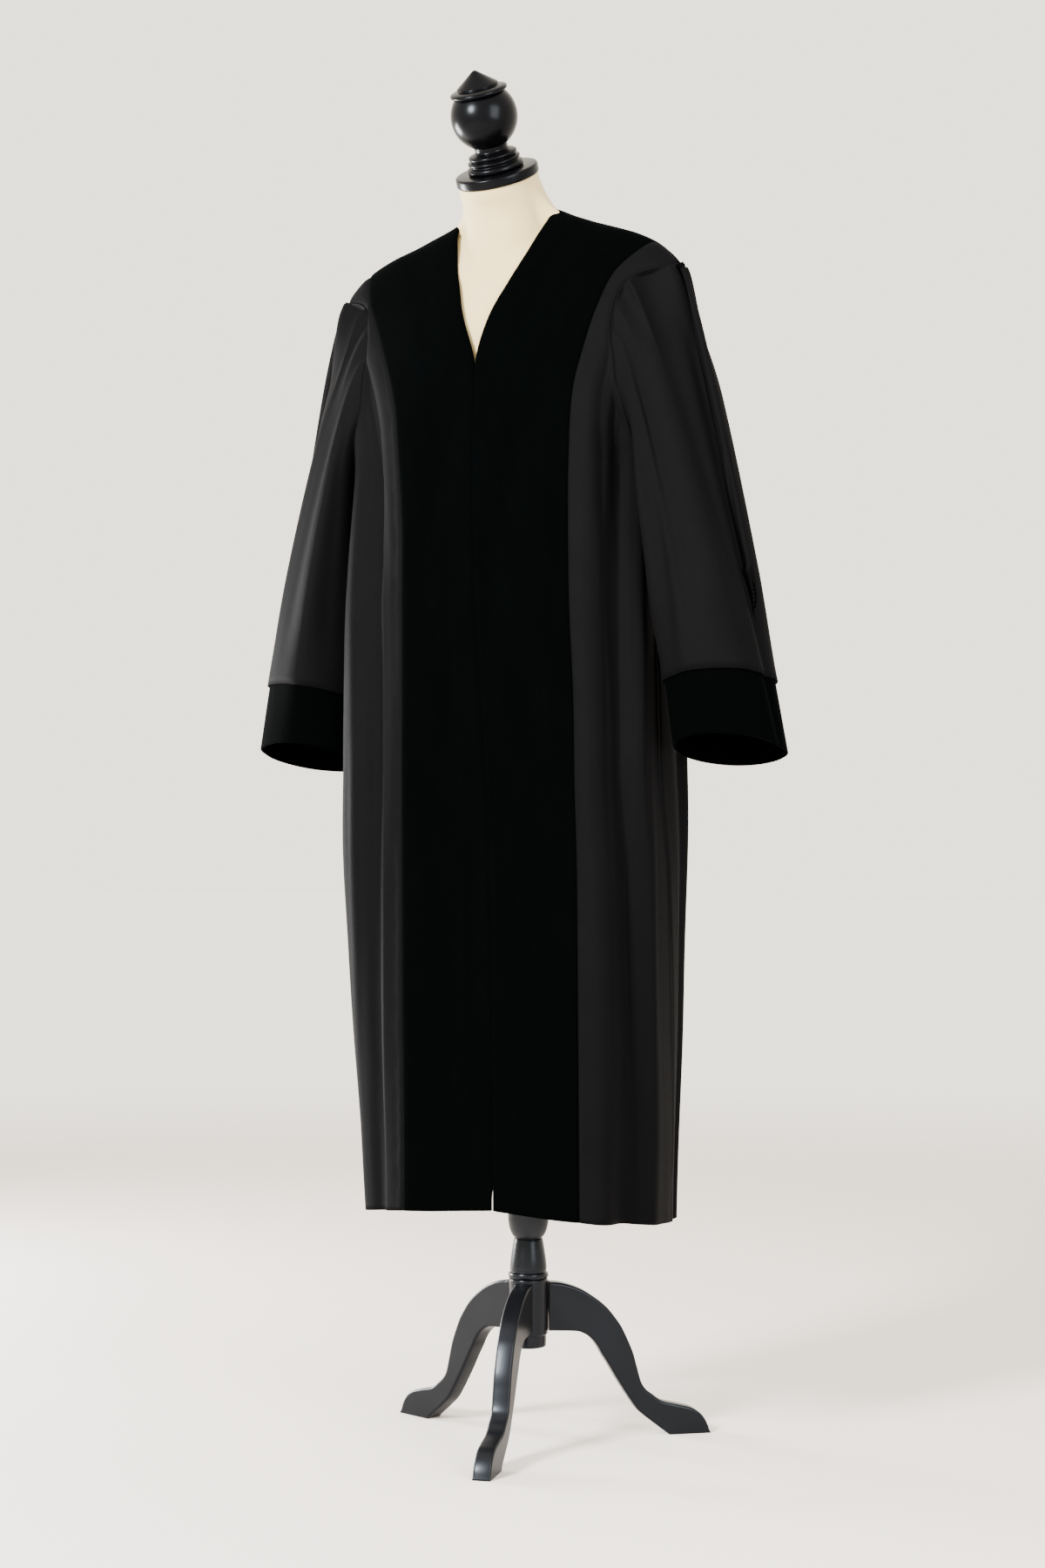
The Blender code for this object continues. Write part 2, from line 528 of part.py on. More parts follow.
# Back: side seam to side seam, gathered into the yoke seam
across = back_share(np.arange(BACK_COLUMNS + 1))[None, :]
left_angle, right_angle = (
    np.concatenate([np.abs(columns[name, "seam"][0][:LOWER_ROWS + 1]), arm_back[1:YOKE_ROW + 1]])
    for name in ("left", "right"))
left_z, right_z = (columns[name, "seam"][1][:LOWER_ROWS + YOKE_ROW + 1]
                   for name in ("left", "right"))
back_angle = left_angle[:, None] * (1 - across) + (360 - right_angle[:, None]) * across
side_z = left_z[:, None] * (1 - across) + right_z[:, None] * across
row_share = np.concatenate([np.zeros(LOWER_ROWS), np.arange(YOKE_ROW + 1) / YOKE_ROW])[:, None]
middle_z = UNDERARM + (YOKE_SEAM - UNDERARM) * row_share
hem_row = (1 - np.concatenate([lower, np.ones(YOKE_ROW)]))[:, None]
rise_mid = np.where(row_share > 0, middle_z - side_z, 0)
low_hang = hem_height(back_angle) - hem_height(left_angle[0]) * (1 - across) - hem_height(
    -right_angle[0]) * across
back_z = side_z + rise_mid * np.sin(math.pi * across) + low_hang * hem_row
add_panel("back", back_angle, back_z, gathers(back_z), WOOL, robe_wool)

# Yoke: from the gathered seam over the shoulder blades to the ridge and the neckline
rows = UPPER_ROWS - YOKE_ROW
up = (1 - (1 - np.arange(rows + 1) / rows) ** ROW_CROWD)[:, None]
foot = body_point(back_angle[-1], back_z[-1])
arm = body_point(arm_back[YOKE_ROW:], arm_z[YOKE_ROW:])
share = np.arange(BACK_COLUMNS + 1)
ridge = np.clip(np.minimum(share, BACK_COLUMNS - share) / RIDGE_COLUMNS, 0, 1)
neck_share = np.clip((share - RIDGE_COLUMNS) / (BACK_COLUMNS - 2 * RIDGE_COLUMNS), 0, 1)
head = body_point(90 + 180 * neck_share, TIP + (NECK - TIP) * ridge)
yoke_xz = []
for axis, mirror in ((0, -1), (2, 1)):
    low, high, edge = foot[:, axis], head[:, axis], arm[:, axis][:, None]
    linear = (1 - up) * low[0] + up * high[0]
    yoke_xz.append((1 - up) * low + up * high + (edge - linear) * (1 - across)
                   + mirror * (edge - linear) * across)
yoke_angle = back_angle_at(yoke_xz[0], yoke_xz[1])
for column, edge_angle in ((0, arm_back[YOKE_ROW:]), (-1, 360 - arm_back[YOKE_ROW:])):
    yoke_angle[:, column] = edge_angle
yoke_angle[-1] = 90 + 180 * neck_share
on_ridge = (neck_share <= 0) | (neck_share >= 1)
away = np.degrees(RIDGE_GAP / np.abs(head[:, 0]).clip(0.05)) * on_ridge
yoke_angle[-1] += np.where(share < BACK_COLUMNS / 2, away, -away)
yoke_xz[1][0] += YOKE_GAP
add_panel("back_yoke", yoke_angle, yoke_xz[1], 0.0, VELVET, velvet)

# Sleeves: each starts on the armhole's own knots and ends in the cuff
loop_angle = np.concatenate([arm_front[::-1], arm_back[1:-1]])
loop_z = np.concatenate([arm_z[::-1], arm_z[1:-1]])
loop_count = len(loop_z)
tip_far = np.minimum(np.arange(loop_count), loop_count - np.arange(loop_count))


def oval(spec, rise, turn):
    """A level oval ring with four half axes, then tipped: angle 0 outer, 90 front, 180 inner."""
    height, x, y, inside, outside, front, behind = spec
    ax = np.where(np.cos(turn) > 0, outside, inside)
    ay = np.where(np.sin(turn) > 0, front, behind)
    px, py = ax * np.cos(turn), -ay * np.sin(turn)
    return np.stack([x + px, y + py, height + px * rise[0] + py * rise[1]], -1)


def sleeve_grids():
    """Middle surface and normals of the left sleeve, and of its cuff."""
    hole, hole_out = body(loop_angle, loop_z)
    along = unit(np.roll(hole, -1, 0) - np.roll(hole, 1, 0))
    into = unit(np.cross(along, hole_out))
    into *= np.sign(np.sum(into * (hole.mean(0) - hole), 1, keepdims=True))
    lengths = np.linalg.norm(np.roll(hole, -1, 0) - hole, axis=1)
    share = np.concatenate([[0], np.cumsum(lengths)[:-1]]) / lengths.sum()
    half = share[UPPER_ROWS]
    turn = math.pi * np.where(share < half, share / half, 1 + (share - half) / (1 - half))
    down = np.clip(-np.cos(turn), 0, 1)[:, None]
    tip = smooth(0.6, 1.0, np.cos(turn))[:, None]
    first = unit(np.array(SLEEVE_WAY_SIDE) * (1 - down) * (1 - tip)
                 + np.array(SLEEVE_WAY_TIP) * tip + np.array(SLEEVE_WAY_UNDER) * down)
    first = unit(first - along * np.sum(first * along, 1, keepdims=True) * SLEEVE_SQUARE)
    top = oval(CUFF_TOP, CUFF_TOP_RISE, turn)
    foot = oval(CUFF_FOOT, CUFF_FOOT_RISE, turn)
    back = np.clip(-np.sum(first * into, 1, keepdims=True), 0, 1)
    across_sheet = unit(np.cross(along, first))
    tilt = np.abs(np.sum(across_sheet * into, 1, keepdims=True))
    start = (hole + into * (SEAM + WOOL / 2 * tilt + SLEEVE_OFF)
             + hole_out * (WOOL + SLEEVE_UP) * smooth(0, 0.8, back))
    last = unit(foot - top)
    run = np.linalg.norm(top - start, axis=1, keepdims=True)
    reach = SLEEVE_BULGE * (0.35 + 0.65 * (1 - down))
    steps = np.concatenate([HEAD_ROWS, np.linspace(2 * HEAD_ROWS[-1], 1, SLEEVE_ROWS - 2)])
    grid = []
    for v in steps:
        grid.append((2 * v ** 3 - 3 * v ** 2 + 1) * start + (v ** 3 - 2 * v ** 2 + v) * first * reach
                    + (3 * v ** 2 - 2 * v ** 3) * top + (v ** 3 - v ** 2) * last * run * SLEEVE_STRAIGHT)
    grid = np.array(grid)
    grid = np.concatenate([grid, (top + unit(foot - top) * CUFF_LAP)[None]])
    steps = np.concatenate([steps, [1.0]])
    out = grid_normals(grid)
    degrees = (np.degrees(turn) + 180) % 360 - 180
    height = np.zeros(grid.shape[:2])
    for head, end, wide, depth, begin in SLEEVE_FOLDS:
        middle = head + (end - head) * steps[:, None]
        bell = np.exp(-(((degrees[None] - middle + 180) % 360 - 180) / wide) ** 2)
        height += depth * bell * (smooth(begin, begin + FOLD_OPENS, steps)
                                  * (1 - FOLD_FADES[2] * smooth(*FOLD_FADES[:2], steps)))[:, None]
    pleated = (tip_far <= PLEAT_SPAN) * np.where(tip_far % 2 == 0, 1.0, -PLEAT_VALLEY)
    height += PLEAT_DEPTH * pleated[None] * (smooth(0, HEAD_ROWS[-1], steps)
                                             * smooth(PLEAT_REACH, PLEAT_FULL, steps))[:, None]
    grid = grid + out * height[..., None]
    fall = np.linspace(0, 1, CUFF_ROWS + 1)[:, None]
    cuff = top + (foot - top) * fall[..., None]
    cuff_height = height[-1] * (1 - CUFF_SMOOTHS * fall)
    cuff_out = grid_normals(cuff)
    cuff = cuff + cuff_out * (cuff_height + WOOL / 2 + VELVET / 2 + CUFF_OFF)[..., None]
    return grid, grid_normals(grid), cuff, grid_normals(cuff)


def grid_normals(grid):
    """Outward normals of a tube whose rows go down and columns go round by the front."""
    round_way = np.roll(grid, -1, 1) - np.roll(grid, 1, 1)
    return unit(np.cross(np.gradient(grid, axis=0), round_way))


for side, name in ((1, "left"), (-1, "right")):
    sleeve, sleeve_out, cuff, cuff_out = sleeve_grids()
    mirror = np.array((side, 1, 1))
    for piece, grid, out, thick, material in (
            ("sleeve", sleeve, sleeve_out, WOOL, robe_wool), ("cuff", cuff, cuff_out, VELVET, velvet)):
        outer, inner = (grid + out * thick / 2) * mirror, (grid - out * thick / 2) * mirror
        order = slice(None, None, 1 if side > 0 else -1)
        points, faces = wall_mesh(outer[::-1, order], inner[::-1, order], True)
        add_object(f"{piece}_{name}", points, faces, material)

# Dress form: rings inset from the robe, swelling into a neck that ends under the cap
turn = np.arange(TORSO_COLUMNS) * 2 * math.pi / TORSO_COLUMNS
rings = []
for z in TORSO_RINGS:
    side_on = np.abs(np.sin(turn)) ** (2 / read_table(BODY, 5, z)) * read_table(BODY, 1, z)
    side_on *= np.sign(np.sin(turn)) * (1 - 1e-4)
    angle = np.where(np.cos(turn) > 0, angle_at(side_on + read_table(BODY, 8, z), z),
                     back_angle_at(side_on, z))
    ring, out = body(angle, np.full(TORSO_COLUMNS, z))
    ring = ring - out * read_table(TORSO_INSET, 1, z)
    if z == TORSO_FOOT:
        ring[:, 2] = z
    middle = read_table(BODY, 4, ring[:, 2])
    across, along = ring[:, 0], middle - ring[:, 1]
    way, reach = np.arctan2(across, along), np.hypot(across, along)
    radius, shift = read_table(NECK_RINGS, 1, ring[:, 2]), read_table(NECK_RINGS, 2, ring[:, 2]) - middle
    neck_reach = -shift * np.cos(way) + np.sqrt(
        np.maximum(radius ** 2 - (shift * np.sin(way)) ** 2, 0))
    neck_reach *= z > NECK_FROM
    ease = np.maximum(NECK_SOFT - np.abs(reach - neck_reach), 0)
    reach = np.maximum(reach, neck_reach) + ease ** 2 / NECK_SOFT / 4
    rings.append(np.stack([reach * np.sin(way), middle - reach * np.cos(way), ring[:, 2]], -1))
for z in NECK_RINGS[-2:, 0]:
    radius, shift = read_table(NECK_RINGS, 1, z), read_table(NECK_RINGS, 2, z)
    tilt = NECK_TILT[2] * smooth(*NECK_TILT[:2], z)
    y = -radius * np.cos(turn)
    rings.append(np.stack([radius * np.sin(turn), shift + y, z + y * tilt], -1))
axis = unit(np.array(CAP_AXIS))
side = unit(np.cross((0.0, 1.0, 0.0), axis))
forward = np.cross(side, axis)
under_cap = np.array(CAP_CENTRE) - axis * (CAP_THICK + SEAM)
for drop, radius in NECK_TOP:
    rings.append(under_cap - axis * drop + radius * (np.sin(turn)[:, None] * side
                                                     + np.cos(turn)[:, None] * forward))
torso = np.array(rings)
count = len(torso)
faces = [(i * TORSO_COLUMNS + j, i * TORSO_COLUMNS + (j + 1) % TORSO_COLUMNS,
          (i + 1) * TORSO_COLUMNS + (j + 1) % TORSO_COLUMNS, (i + 1) * TORSO_COLUMNS + j)
         for i in range(count - 1) for j in range(TORSO_COLUMNS)]
faces.append(tuple(reversed(range(TORSO_COLUMNS))))
faces.append(tuple((count - 1) * TORSO_COLUMNS + j for j in range(TORSO_COLUMNS)))
add_object("form_torso", torso.reshape(-1, 3), faces, form_jersey)

# Cap and finial
cap = np.array([(-CAP_THICK, CAP_RADIUS - CAP_EDGE), (CAP_EDGE - CAP_THICK, CAP_RADIUS),
                (-CAP_EDGE, CAP_RADIUS), (0.0, CAP_RADIUS - CAP_EDGE)])
turned("neck_cap", cap, black_wood, CAP_CENTRE, CAP_AXIS, CAP_STEPS)
arc = np.linspace(*BALL_ARC, BALL_STEPS)
ball = np.stack([BALL_CENTRE + BALL_RADIUS * np.sin(arc), BALL_RADIUS * np.cos(arc)], -1)
finial = np.concatenate([FINIAL, ball, FINIAL_TOP])
finial[:, 0] += SEAM
turned("finial", finial, black_wood, CAP_CENTRE, CAP_AXIS)

# Column and hub
column = np.concatenate([COLUMN, [(TORSO_FOOT - SEAM, COLUMN[-1, 1])]])
turned("column", column, black_wood)
turned("hub", HUB, black_wood)

# Legs: one outline sawn from a plank, its edges eased
outline = np.concatenate([LEG_TOP, LEG_UNDER])
count = len(outline)
for number, angle in enumerate(LEG_ANGLES, 1):
    way = math.radians(angle)
    out = np.array((math.sin(way), -math.cos(way), 0))
    across = np.array((math.cos(way), math.sin(way), 0)) * LEG_THICK / 2
    spine = outline[:, :1] * out + outline[:, 1:] * np.array((0, 0, 1))
    points = np.concatenate([spine - across, spine + across])
    faces = [tuple(reversed(range(count))), tuple(range(count, 2 * count))]
    faces += [(i, (i + 1) % count, count + (i + 1) % count, count + i) for i in range(count)]
    leg = add_object(f"leg_{number}", points, faces, black_wood, soft=False)
    ease = leg.modifiers.new("eased edges", "BEVEL")
    ease.width = LEG_BEVEL
    ease.segments = 1
    ease.limit_method = "ANGLE"
    ease.angle_limit = math.radians(LEG_CORNER)
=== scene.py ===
"""A black court robe on a limbless dress form with a turned and lacquered stand.

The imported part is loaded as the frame. Each piece of cloth, wood and jersey is then made
again finer, on the same forms, with its creases, seams and finish. Metres, +Z up; the robe's
front faces -Y and the wearer's left is +X.
"""
import math

import bpy
import numpy as np
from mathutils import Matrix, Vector


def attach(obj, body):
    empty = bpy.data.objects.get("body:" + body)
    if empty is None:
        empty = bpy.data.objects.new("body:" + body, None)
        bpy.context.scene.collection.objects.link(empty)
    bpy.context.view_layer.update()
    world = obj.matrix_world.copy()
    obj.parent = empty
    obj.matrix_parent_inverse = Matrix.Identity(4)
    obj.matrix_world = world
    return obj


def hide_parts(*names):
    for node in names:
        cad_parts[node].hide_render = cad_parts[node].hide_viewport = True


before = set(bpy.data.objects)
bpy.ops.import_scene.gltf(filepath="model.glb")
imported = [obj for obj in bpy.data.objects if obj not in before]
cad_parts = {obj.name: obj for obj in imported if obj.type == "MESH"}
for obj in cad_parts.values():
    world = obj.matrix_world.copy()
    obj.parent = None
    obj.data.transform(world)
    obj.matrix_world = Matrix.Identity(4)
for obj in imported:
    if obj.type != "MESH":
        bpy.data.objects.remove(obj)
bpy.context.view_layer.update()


# ---------------------------------------------------------------------------
# Three legs, each sawn from a hardwood plank 22 mm thick, its edges rounded by a router,
# doweled and glued to the hub, then sprayed with black lacquer.

def row_at(table, at, column):
    """Smooth curve through a table's rows: cubic steps whose slope at a row is the mean of
    the slopes on both sides, and level where the values turn."""
    knots, values = table[:, 0], table[:, column]
    steps = np.diff(values) / np.diff(knots)
    slopes = np.concatenate([steps[:1], (steps[1:] + steps[:-1]) / 2, steps[-1:]])
    slopes[1:-1][steps[1:] * steps[:-1] <= 0] = 0
    at = np.asarray(at, float)
    i = np.clip(np.searchsorted(knots, at) - 1, 0, len(knots) - 2)
    span = knots[i + 1] - knots[i]
    t = np.clip((at - knots[i]) / span, 0, 1)
    return ((2 * t ** 3 - 3 * t ** 2 + 1) * values[i] + (t ** 3 - 2 * t ** 2 + t) * span * slopes[i]
            + (3 * t ** 2 - 2 * t ** 3) * values[i + 1] + (t ** 3 - t ** 2) * span * slopes[i + 1])


def unit(vectors):
    """Each vector divided by its own length."""
    return vectors / np.maximum(np.linalg.norm(vectors, axis=-1, keepdims=True), 1e-12)


class Wire:
    """An output of a node. Sums and products of wires and numbers add Math nodes."""

    def __init__(self, finish, socket):
        self.finish, self.socket = finish, socket

    def combine(self, operation, first, second):
        return self.finish.node("ShaderNodeMath", {"operation": operation}, {0: first, 1: second})

    def __add__(self, other):
        return self.combine("ADD", self, other)

    def __radd__(self, other):
        return self.combine("ADD", other, self)

    def __sub__(self, other):
        return self.combine("SUBTRACT", self, other)

    def __rsub__(self, other):
        return self.combine("SUBTRACT", other, self)

    def __mul__(self, other):
        return self.combine("MULTIPLY", self, other)

    def __rmul__(self, other):
        return self.combine("MULTIPLY", other, self)

    def power(self, exponent):
        return self.combine("POWER", self, exponent)


class Finish:
    """A material: constants on its shader, and one method that adds any other node."""

    def __init__(self, name, **constants):
        self.material = bpy.data.materials.new(name)
        self.material.use_nodes = True
        self.shader = self.material.node_tree.nodes["Principled BSDF"]
        for socket, value in constants.items():
            self.feed(self.shader.inputs[socket.replace("_", " ")], value)

    def feed(self, socket, value):
        if isinstance(value, Wire):
            self.material.node_tree.links.new(value.socket, socket)
        else:
            socket.default_value = value

    def node(self, kind, settings, sockets, output=0):
        made = self.material.node_tree.nodes.new(kind)
        for key, value in settings.items():
            setattr(made, key, value)
        for key, value in sockets.items():
            self.feed(made.inputs[key], value)
        return Wire(self, made.outputs[output])

    def place(self, scale=(1, 1, 1), cloth=False):
        """Object coordinates, or the cloth's own threads across and along, times a scale."""
        kind = "ShaderNodeUVMap" if cloth else "ShaderNodeTexCoord"
        settings = {"uv_map": "threads"} if cloth else {}
        origin = self.node(kind, settings, {}, 0 if cloth else "Object")
        return self.node("ShaderNodeVectorMath", {"operation": "MULTIPLY"},
                         {0: origin, 1: scale})

    def noise(self, where, scale, detail=2.0, rough=0.5):
        return self.node("ShaderNodeTexNoise", {}, {"Vector": where, "Scale": scale,
                                                    "Detail": detail, "Roughness": rough})

    def tint(self, share, first, second):
        """A colour that runs from the first to the second as the share goes from 0 to 1."""
        return self.node("ShaderNodeMix", {"data_type": "RGBA"},
                         {"Factor": share, 6: (*first, 1), 7: (*second, 1)}, 2)

    def relief(self, height, distance, strength=1.0):
        bump = self.node("ShaderNodeBump", {}, {"Height": height, "Distance": distance,
                                                "Strength": strength})
        self.feed(self.shader.inputs["Normal"], bump)


def black_lacquer(name, along, shine, rough, painted_light_from=9.0):
    """Black lacquer on closed-grain wood: faint pores along the grain, an uneven gloss, and
    above a height a rougher coat painted lighter grey: painted light on the upper turnings."""
    coat = Finish(name, Coat_Weight=0.02, Coat_Roughness=0.10, Specular_IOR_Level=shine,
                  Specular_Tint=(0.76, 0.87, 1.0, 1))
    grain = coat.noise(coat.place(along), 60.0, 3.0, 0.6)
    cloud = coat.noise(coat.place(), 14.0, 3.0)
    height = coat.node("ShaderNodeSeparateXYZ", {}, {0: coat.place()}, 2)
    # Painted light: above the given height the lacquer's colour is painted a lighter grey, and it
    # is rougher
    upper_painted_light = coat.node("ShaderNodeMapRange", {}, {"Value": height, "From Min": painted_light_from,
                                                "From Max": painted_light_from + 0.004})
    lacquer_own_black = coat.tint(cloud, (0.0018, 0.0019, 0.0025), (0.0036, 0.0037, 0.0045))
    coat.feed(coat.shader.inputs["Base Color"], coat.node(
        "ShaderNodeMix", {"data_type": "RGBA"}, {"Factor": upper_painted_light, 6: lacquer_own_black,
                                                 7: (0.0120, 0.0125, 0.0140, 1)}, 2))
    coat.feed(coat.shader.inputs["Roughness"], rough + cloud * 0.12 + upper_painted_light * 0.22)
    coat.relief(grain * 0.6 + cloud * 0.4, 0.00025, 0.5)
    return coat.material


def add_piece(name, points, faces, material, nodes, threads=None):
    """Puts points and faces into a mesh. Four-sided faces are shaded smooth, flat ends aren't.
    Threads is the cloth's place at each corner of each face."""
    mesh = bpy.data.meshes.new(name)
    if isinstance(faces, np.ndarray):
        mesh.vertices.add(len(points))
        mesh.vertices.foreach_set("co", np.ascontiguousarray(points, np.float32).ravel())
        mesh.loops.add(faces.size)
        mesh.loops.foreach_set("vertex_index", np.ascontiguousarray(faces, np.int32).ravel())
        mesh.polygons.add(len(faces))
        mesh.polygons.foreach_set("loop_start", np.arange(0, faces.size, 4, dtype=np.int32))
        mesh.update(calc_edges=True)
    else:
        mesh.from_pydata(np.asarray(points).tolist(), [], faces)
    if threads is not None:
        mesh.uv_layers.new(name="threads")
        mesh.uv_layers["threads"].uv.foreach_set("vector", threads.astype(np.float32).ravel())
    mesh.polygons.foreach_set("use_smooth", [len(face.vertices) == 4 for face in mesh.polygons])
    mesh.materials.append(material)
    piece = bpy.data.objects.new(name, mesh)
    bpy.context.scene.collection.objects.link(piece)
    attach(piece, "root")
    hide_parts(*nodes)
    return piece


STAND_AT = np.array((0.0, 0.030, 0.0))  # foot of the column's axis
LEG_WIDE = 0.0225
LEG_ROUND = 0.0032
LEG_ANGLES = (17.0, 133.0, 254.0)  # from -Y towards +X
# number, distance from the column, height: over the leg's upper side, then its underside
LEG_OVER = np.array([
    (0, 0.0248, 0.1975), (1, 0.0450, 0.1945), (2, 0.0670, 0.1864), (3, 0.0860, 0.1745),
    (4, 0.0998, 0.1627), (5, 0.1110, 0.1490), (6, 0.1198, 0.1357), (7, 0.1325, 0.1079),
    (8, 0.1385, 0.0870), (9, 0.1442, 0.0675), (10, 0.1505, 0.0580), (11, 0.1595, 0.0510),
    (12, 0.1720, 0.0425), (13, 0.1955, 0.0365), (14, 0.2110, 0.0320), (15, 0.2225, 0.0240),
    (16, 0.2300, 0.0130), (17, 0.2345, 0.0002)])
LEG_BELOW = np.array([
    (0, 0.1800, 0.0002), (1, 0.1527, 0.0210), (2, 0.1400, 0.0320), (3, 0.1292, 0.0465),
    (4, 0.1200, 0.0605), (5, 0.1116, 0.0738), (6, 0.1015, 0.0910), (7, 0.0930, 0.1044),
    (8, 0.0870, 0.1150), (9, 0.0789, 0.1249), (10, 0.0690, 0.1315), (11, 0.0580, 0.1345),
    (12, 0.0248, 0.1363)])
over, below = np.linspace(0, 17, 120), np.linspace(0, 12, 90)
leg_line = np.concatenate([
    np.stack([row_at(LEG_OVER, over, 1), row_at(LEG_OVER, over, 2)], -1),
    np.stack([row_at(LEG_BELOW, below, 1), row_at(LEG_BELOW, below, 2)], -1)])
# The edge is a quarter round: each ring of the outline moves in by r - r sin t while it
# moves across the plank by r cos t
leg_way = unit(np.roll(leg_line, -1, 0) - np.roll(leg_line, 1, 0))
leg_in = np.stack([leg_way[:, 1], -leg_way[:, 0]], -1)
quarter = np.linspace(0, math.pi / 2, 5)
leg_across = LEG_WIDE / 2 - LEG_ROUND * (1 - np.sin(quarter))
leg_across = np.concatenate([-leg_across[::-1], leg_across])
leg_inset = LEG_ROUND - np.sqrt(np.maximum(
    LEG_ROUND ** 2 - np.maximum(np.abs(leg_across) - LEG_WIDE / 2 + LEG_ROUND, 0) ** 2, 0))
leg_run = np.concatenate([[0], np.linalg.norm(np.diff(leg_line, axis=0), axis=1).cumsum()])
leg_corners = leg_run[[0, len(over) - 1, len(over), len(leg_line) - 1]]
leg_free = np.clip(np.abs(leg_run[:, None] - leg_corners).min(1) / (1.8 * LEG_ROUND), 0, 1)
leg_rings = leg_line[None] + leg_in[None] * leg_inset[:, None, None] * leg_free[:, None]
ring, spot = np.meshgrid(np.arange(len(leg_across) - 1), np.arange(len(leg_line)), indexing="ij")
following = (spot + 1) % len(leg_line)
leg_sides = np.stack([ring * len(leg_line) + spot, ring * len(leg_line) + following,
                      (ring + 1) * len(leg_line) + following,
                      (ring + 1) * len(leg_line) + spot], -1).reshape(-1, 4).tolist()
leg_faces = leg_sides + [list(range(len(leg_line)))[::-1],
                         [(len(leg_across) - 1) * len(leg_line) + i
                          for i in range(len(leg_line))]]
leg_lacquer = black_lacquer("leg_lacquer", (1.0, 1.0, 0.12), 0.11, 0.26)
for number, degrees in enumerate(LEG_ANGLES, 1):
    way = math.radians(degrees)
    outward = np.array((math.sin(way), -math.cos(way), 0.0))
    sideways = np.array((math.cos(way), math.sin(way), 0.0))
    leg_points = (STAND_AT + leg_rings[..., :1] * outward + leg_rings[..., 1:] * (0, 0, 1)
                  + leg_across[:, None, None] * sideways)
    add_piece(f"wooden_leg_{number}", leg_points.reshape(-1, 3), leg_faces, leg_lacquer,
              [f"leg_{number}"])


# ---------------------------------------------------------------------------
# The hub that the legs meet in and the column above it: beech turned on a lathe, with a
# vase, a ring and coves, screwed together and lacquered black like the legs.

def soften(profile, rounds=2):
    """Cuts each corner of a line at a quarter and three quarters of its two edges."""
    for _ in range(rounds):
        near = profile[:-1] * 0.75 + profile[1:] * 0.25
        far = profile[:-1] * 0.25 + profile[1:] * 0.75
        middle = np.stack([near, far], 1).reshape(-1, 2)
        profile = np.concatenate([profile[:1], middle, profile[-1:]])
    return profile


def add_turned(name, profile, centre, axis, material, nodes, spokes=96):
    """Surface of revolution: distance along an axis and radius, turned round it, with a pole
    at each end."""
    axis = unit(np.array(axis, float))
    side = unit(np.cross((0.0, 1.0, 0.0), axis))
    ahead = np.cross(axis, side)
    profile = np.concatenate([[(profile[0, 0], 1e-5)], profile, [(profile[-1, 0], 1e-5)]])
    around = np.arange(spokes) * 2 * math.pi / spokes
    arms = np.cos(around)[:, None] * side + np.sin(around)[:, None] * ahead
    points = (np.array(centre) + profile[:, None, :1] * axis
              + profile[:, None, 1:] * arms).reshape(-1, 3)
    i, j = np.meshgrid(np.arange(len(profile) - 1), np.arange(spokes), indexing="ij")
    k = (j + 1) % spokes
    faces = np.stack([i * spokes + j, i * spokes + k, (i + 1) * spokes + k,
                      (i + 1) * spokes + j], -1).reshape(-1, 4).tolist()
    faces += [list(range(spokes))[::-1], [(len(profile) - 1) * spokes + j for j in range(spokes)]]
    return add_piece(name, points, faces, material, nodes)


# height, radius
HUB_PROFILE = np.array([
    (0.1163, 0.0195), (0.1170, 0.0215), (0.1185, 0.0225), (0.1318, 0.0225), (0.1322, 0.0232),
    (0.1332, 0.0245), (0.1345, 0.0245), (0.1990, 0.0245), (0.2008, 0.0245), (0.2019, 0.0236)])
COLUMN_PROFILE = np.array([
    (0.2023, 0.0215), (0.2026, 0.0238), (0.2040, 0.0250), (0.2060, 0.0253), (0.2084, 0.0250),
    (0.2098, 0.0240), (0.2104, 0.0226), (0.2110, 0.0226), (0.2150, 0.0233), (0.2240, 0.0225),
    (0.2330, 0.0212), (0.2430, 0.0196), (0.2516, 0.0181), (0.2524, 0.0173), (0.2534, 0.0173),
    (0.2542, 0.0186), (0.2580, 0.0212), (0.2620, 0.0229), (0.2660, 0.0240), (0.2710, 0.0250),
    (0.2760, 0.0254), (0.2820, 0.0255), (0.2880, 0.0252), (0.2940, 0.0244), (0.3000, 0.0232),
    (0.3060, 0.0217), (0.3120, 0.0200), (0.3196, 0.0174), (0.3206, 0.0172), (0.3220, 0.0188),
    (0.3240, 0.0198), (0.3260, 0.0201), (0.3280, 0.0198), (0.3300, 0.0190), (0.3320, 0.0165),
    (0.3340, 0.0162), (0.3600, 0.0160), (0.7190, 0.0150), (0.7205, 0.0165), (0.7220, 0.0260),
    (0.7260, 0.0280), (0.7560, 0.0280), (0.7597, 0.0280)])
# Above 0.2525 m the column's lacquer is painted lighter grey: painted light on the upper turnings
turned_lacquer = black_lacquer("turned_lacquer", (1.0, 1.0, 0.10), 0.13, 0.20, 0.2525)
add_turned("turned_hub", soften(HUB_PROFILE), STAND_AT, (0, 0, 1), turned_lacquer, ["hub"])
add_turned("turned_column", soften(COLUMN_PROFILE), STAND_AT, (0, 0, 1), turned_lacquer,
           ["column"])


# ---------------------------------------------------------------------------
# The torso: a hard shell of a limbless figure padded thinly and covered with ivory cotton
# jersey, which is stretched over it, seamed down the sides and closed under the cap.

def ramp(low, high, at):
    """0 below low, 1 above high, an even S between."""
    t = np.clip((np.asarray(at, float) - low) / (high - low), 0, 1)
    return t * t * (3 - 2 * t)


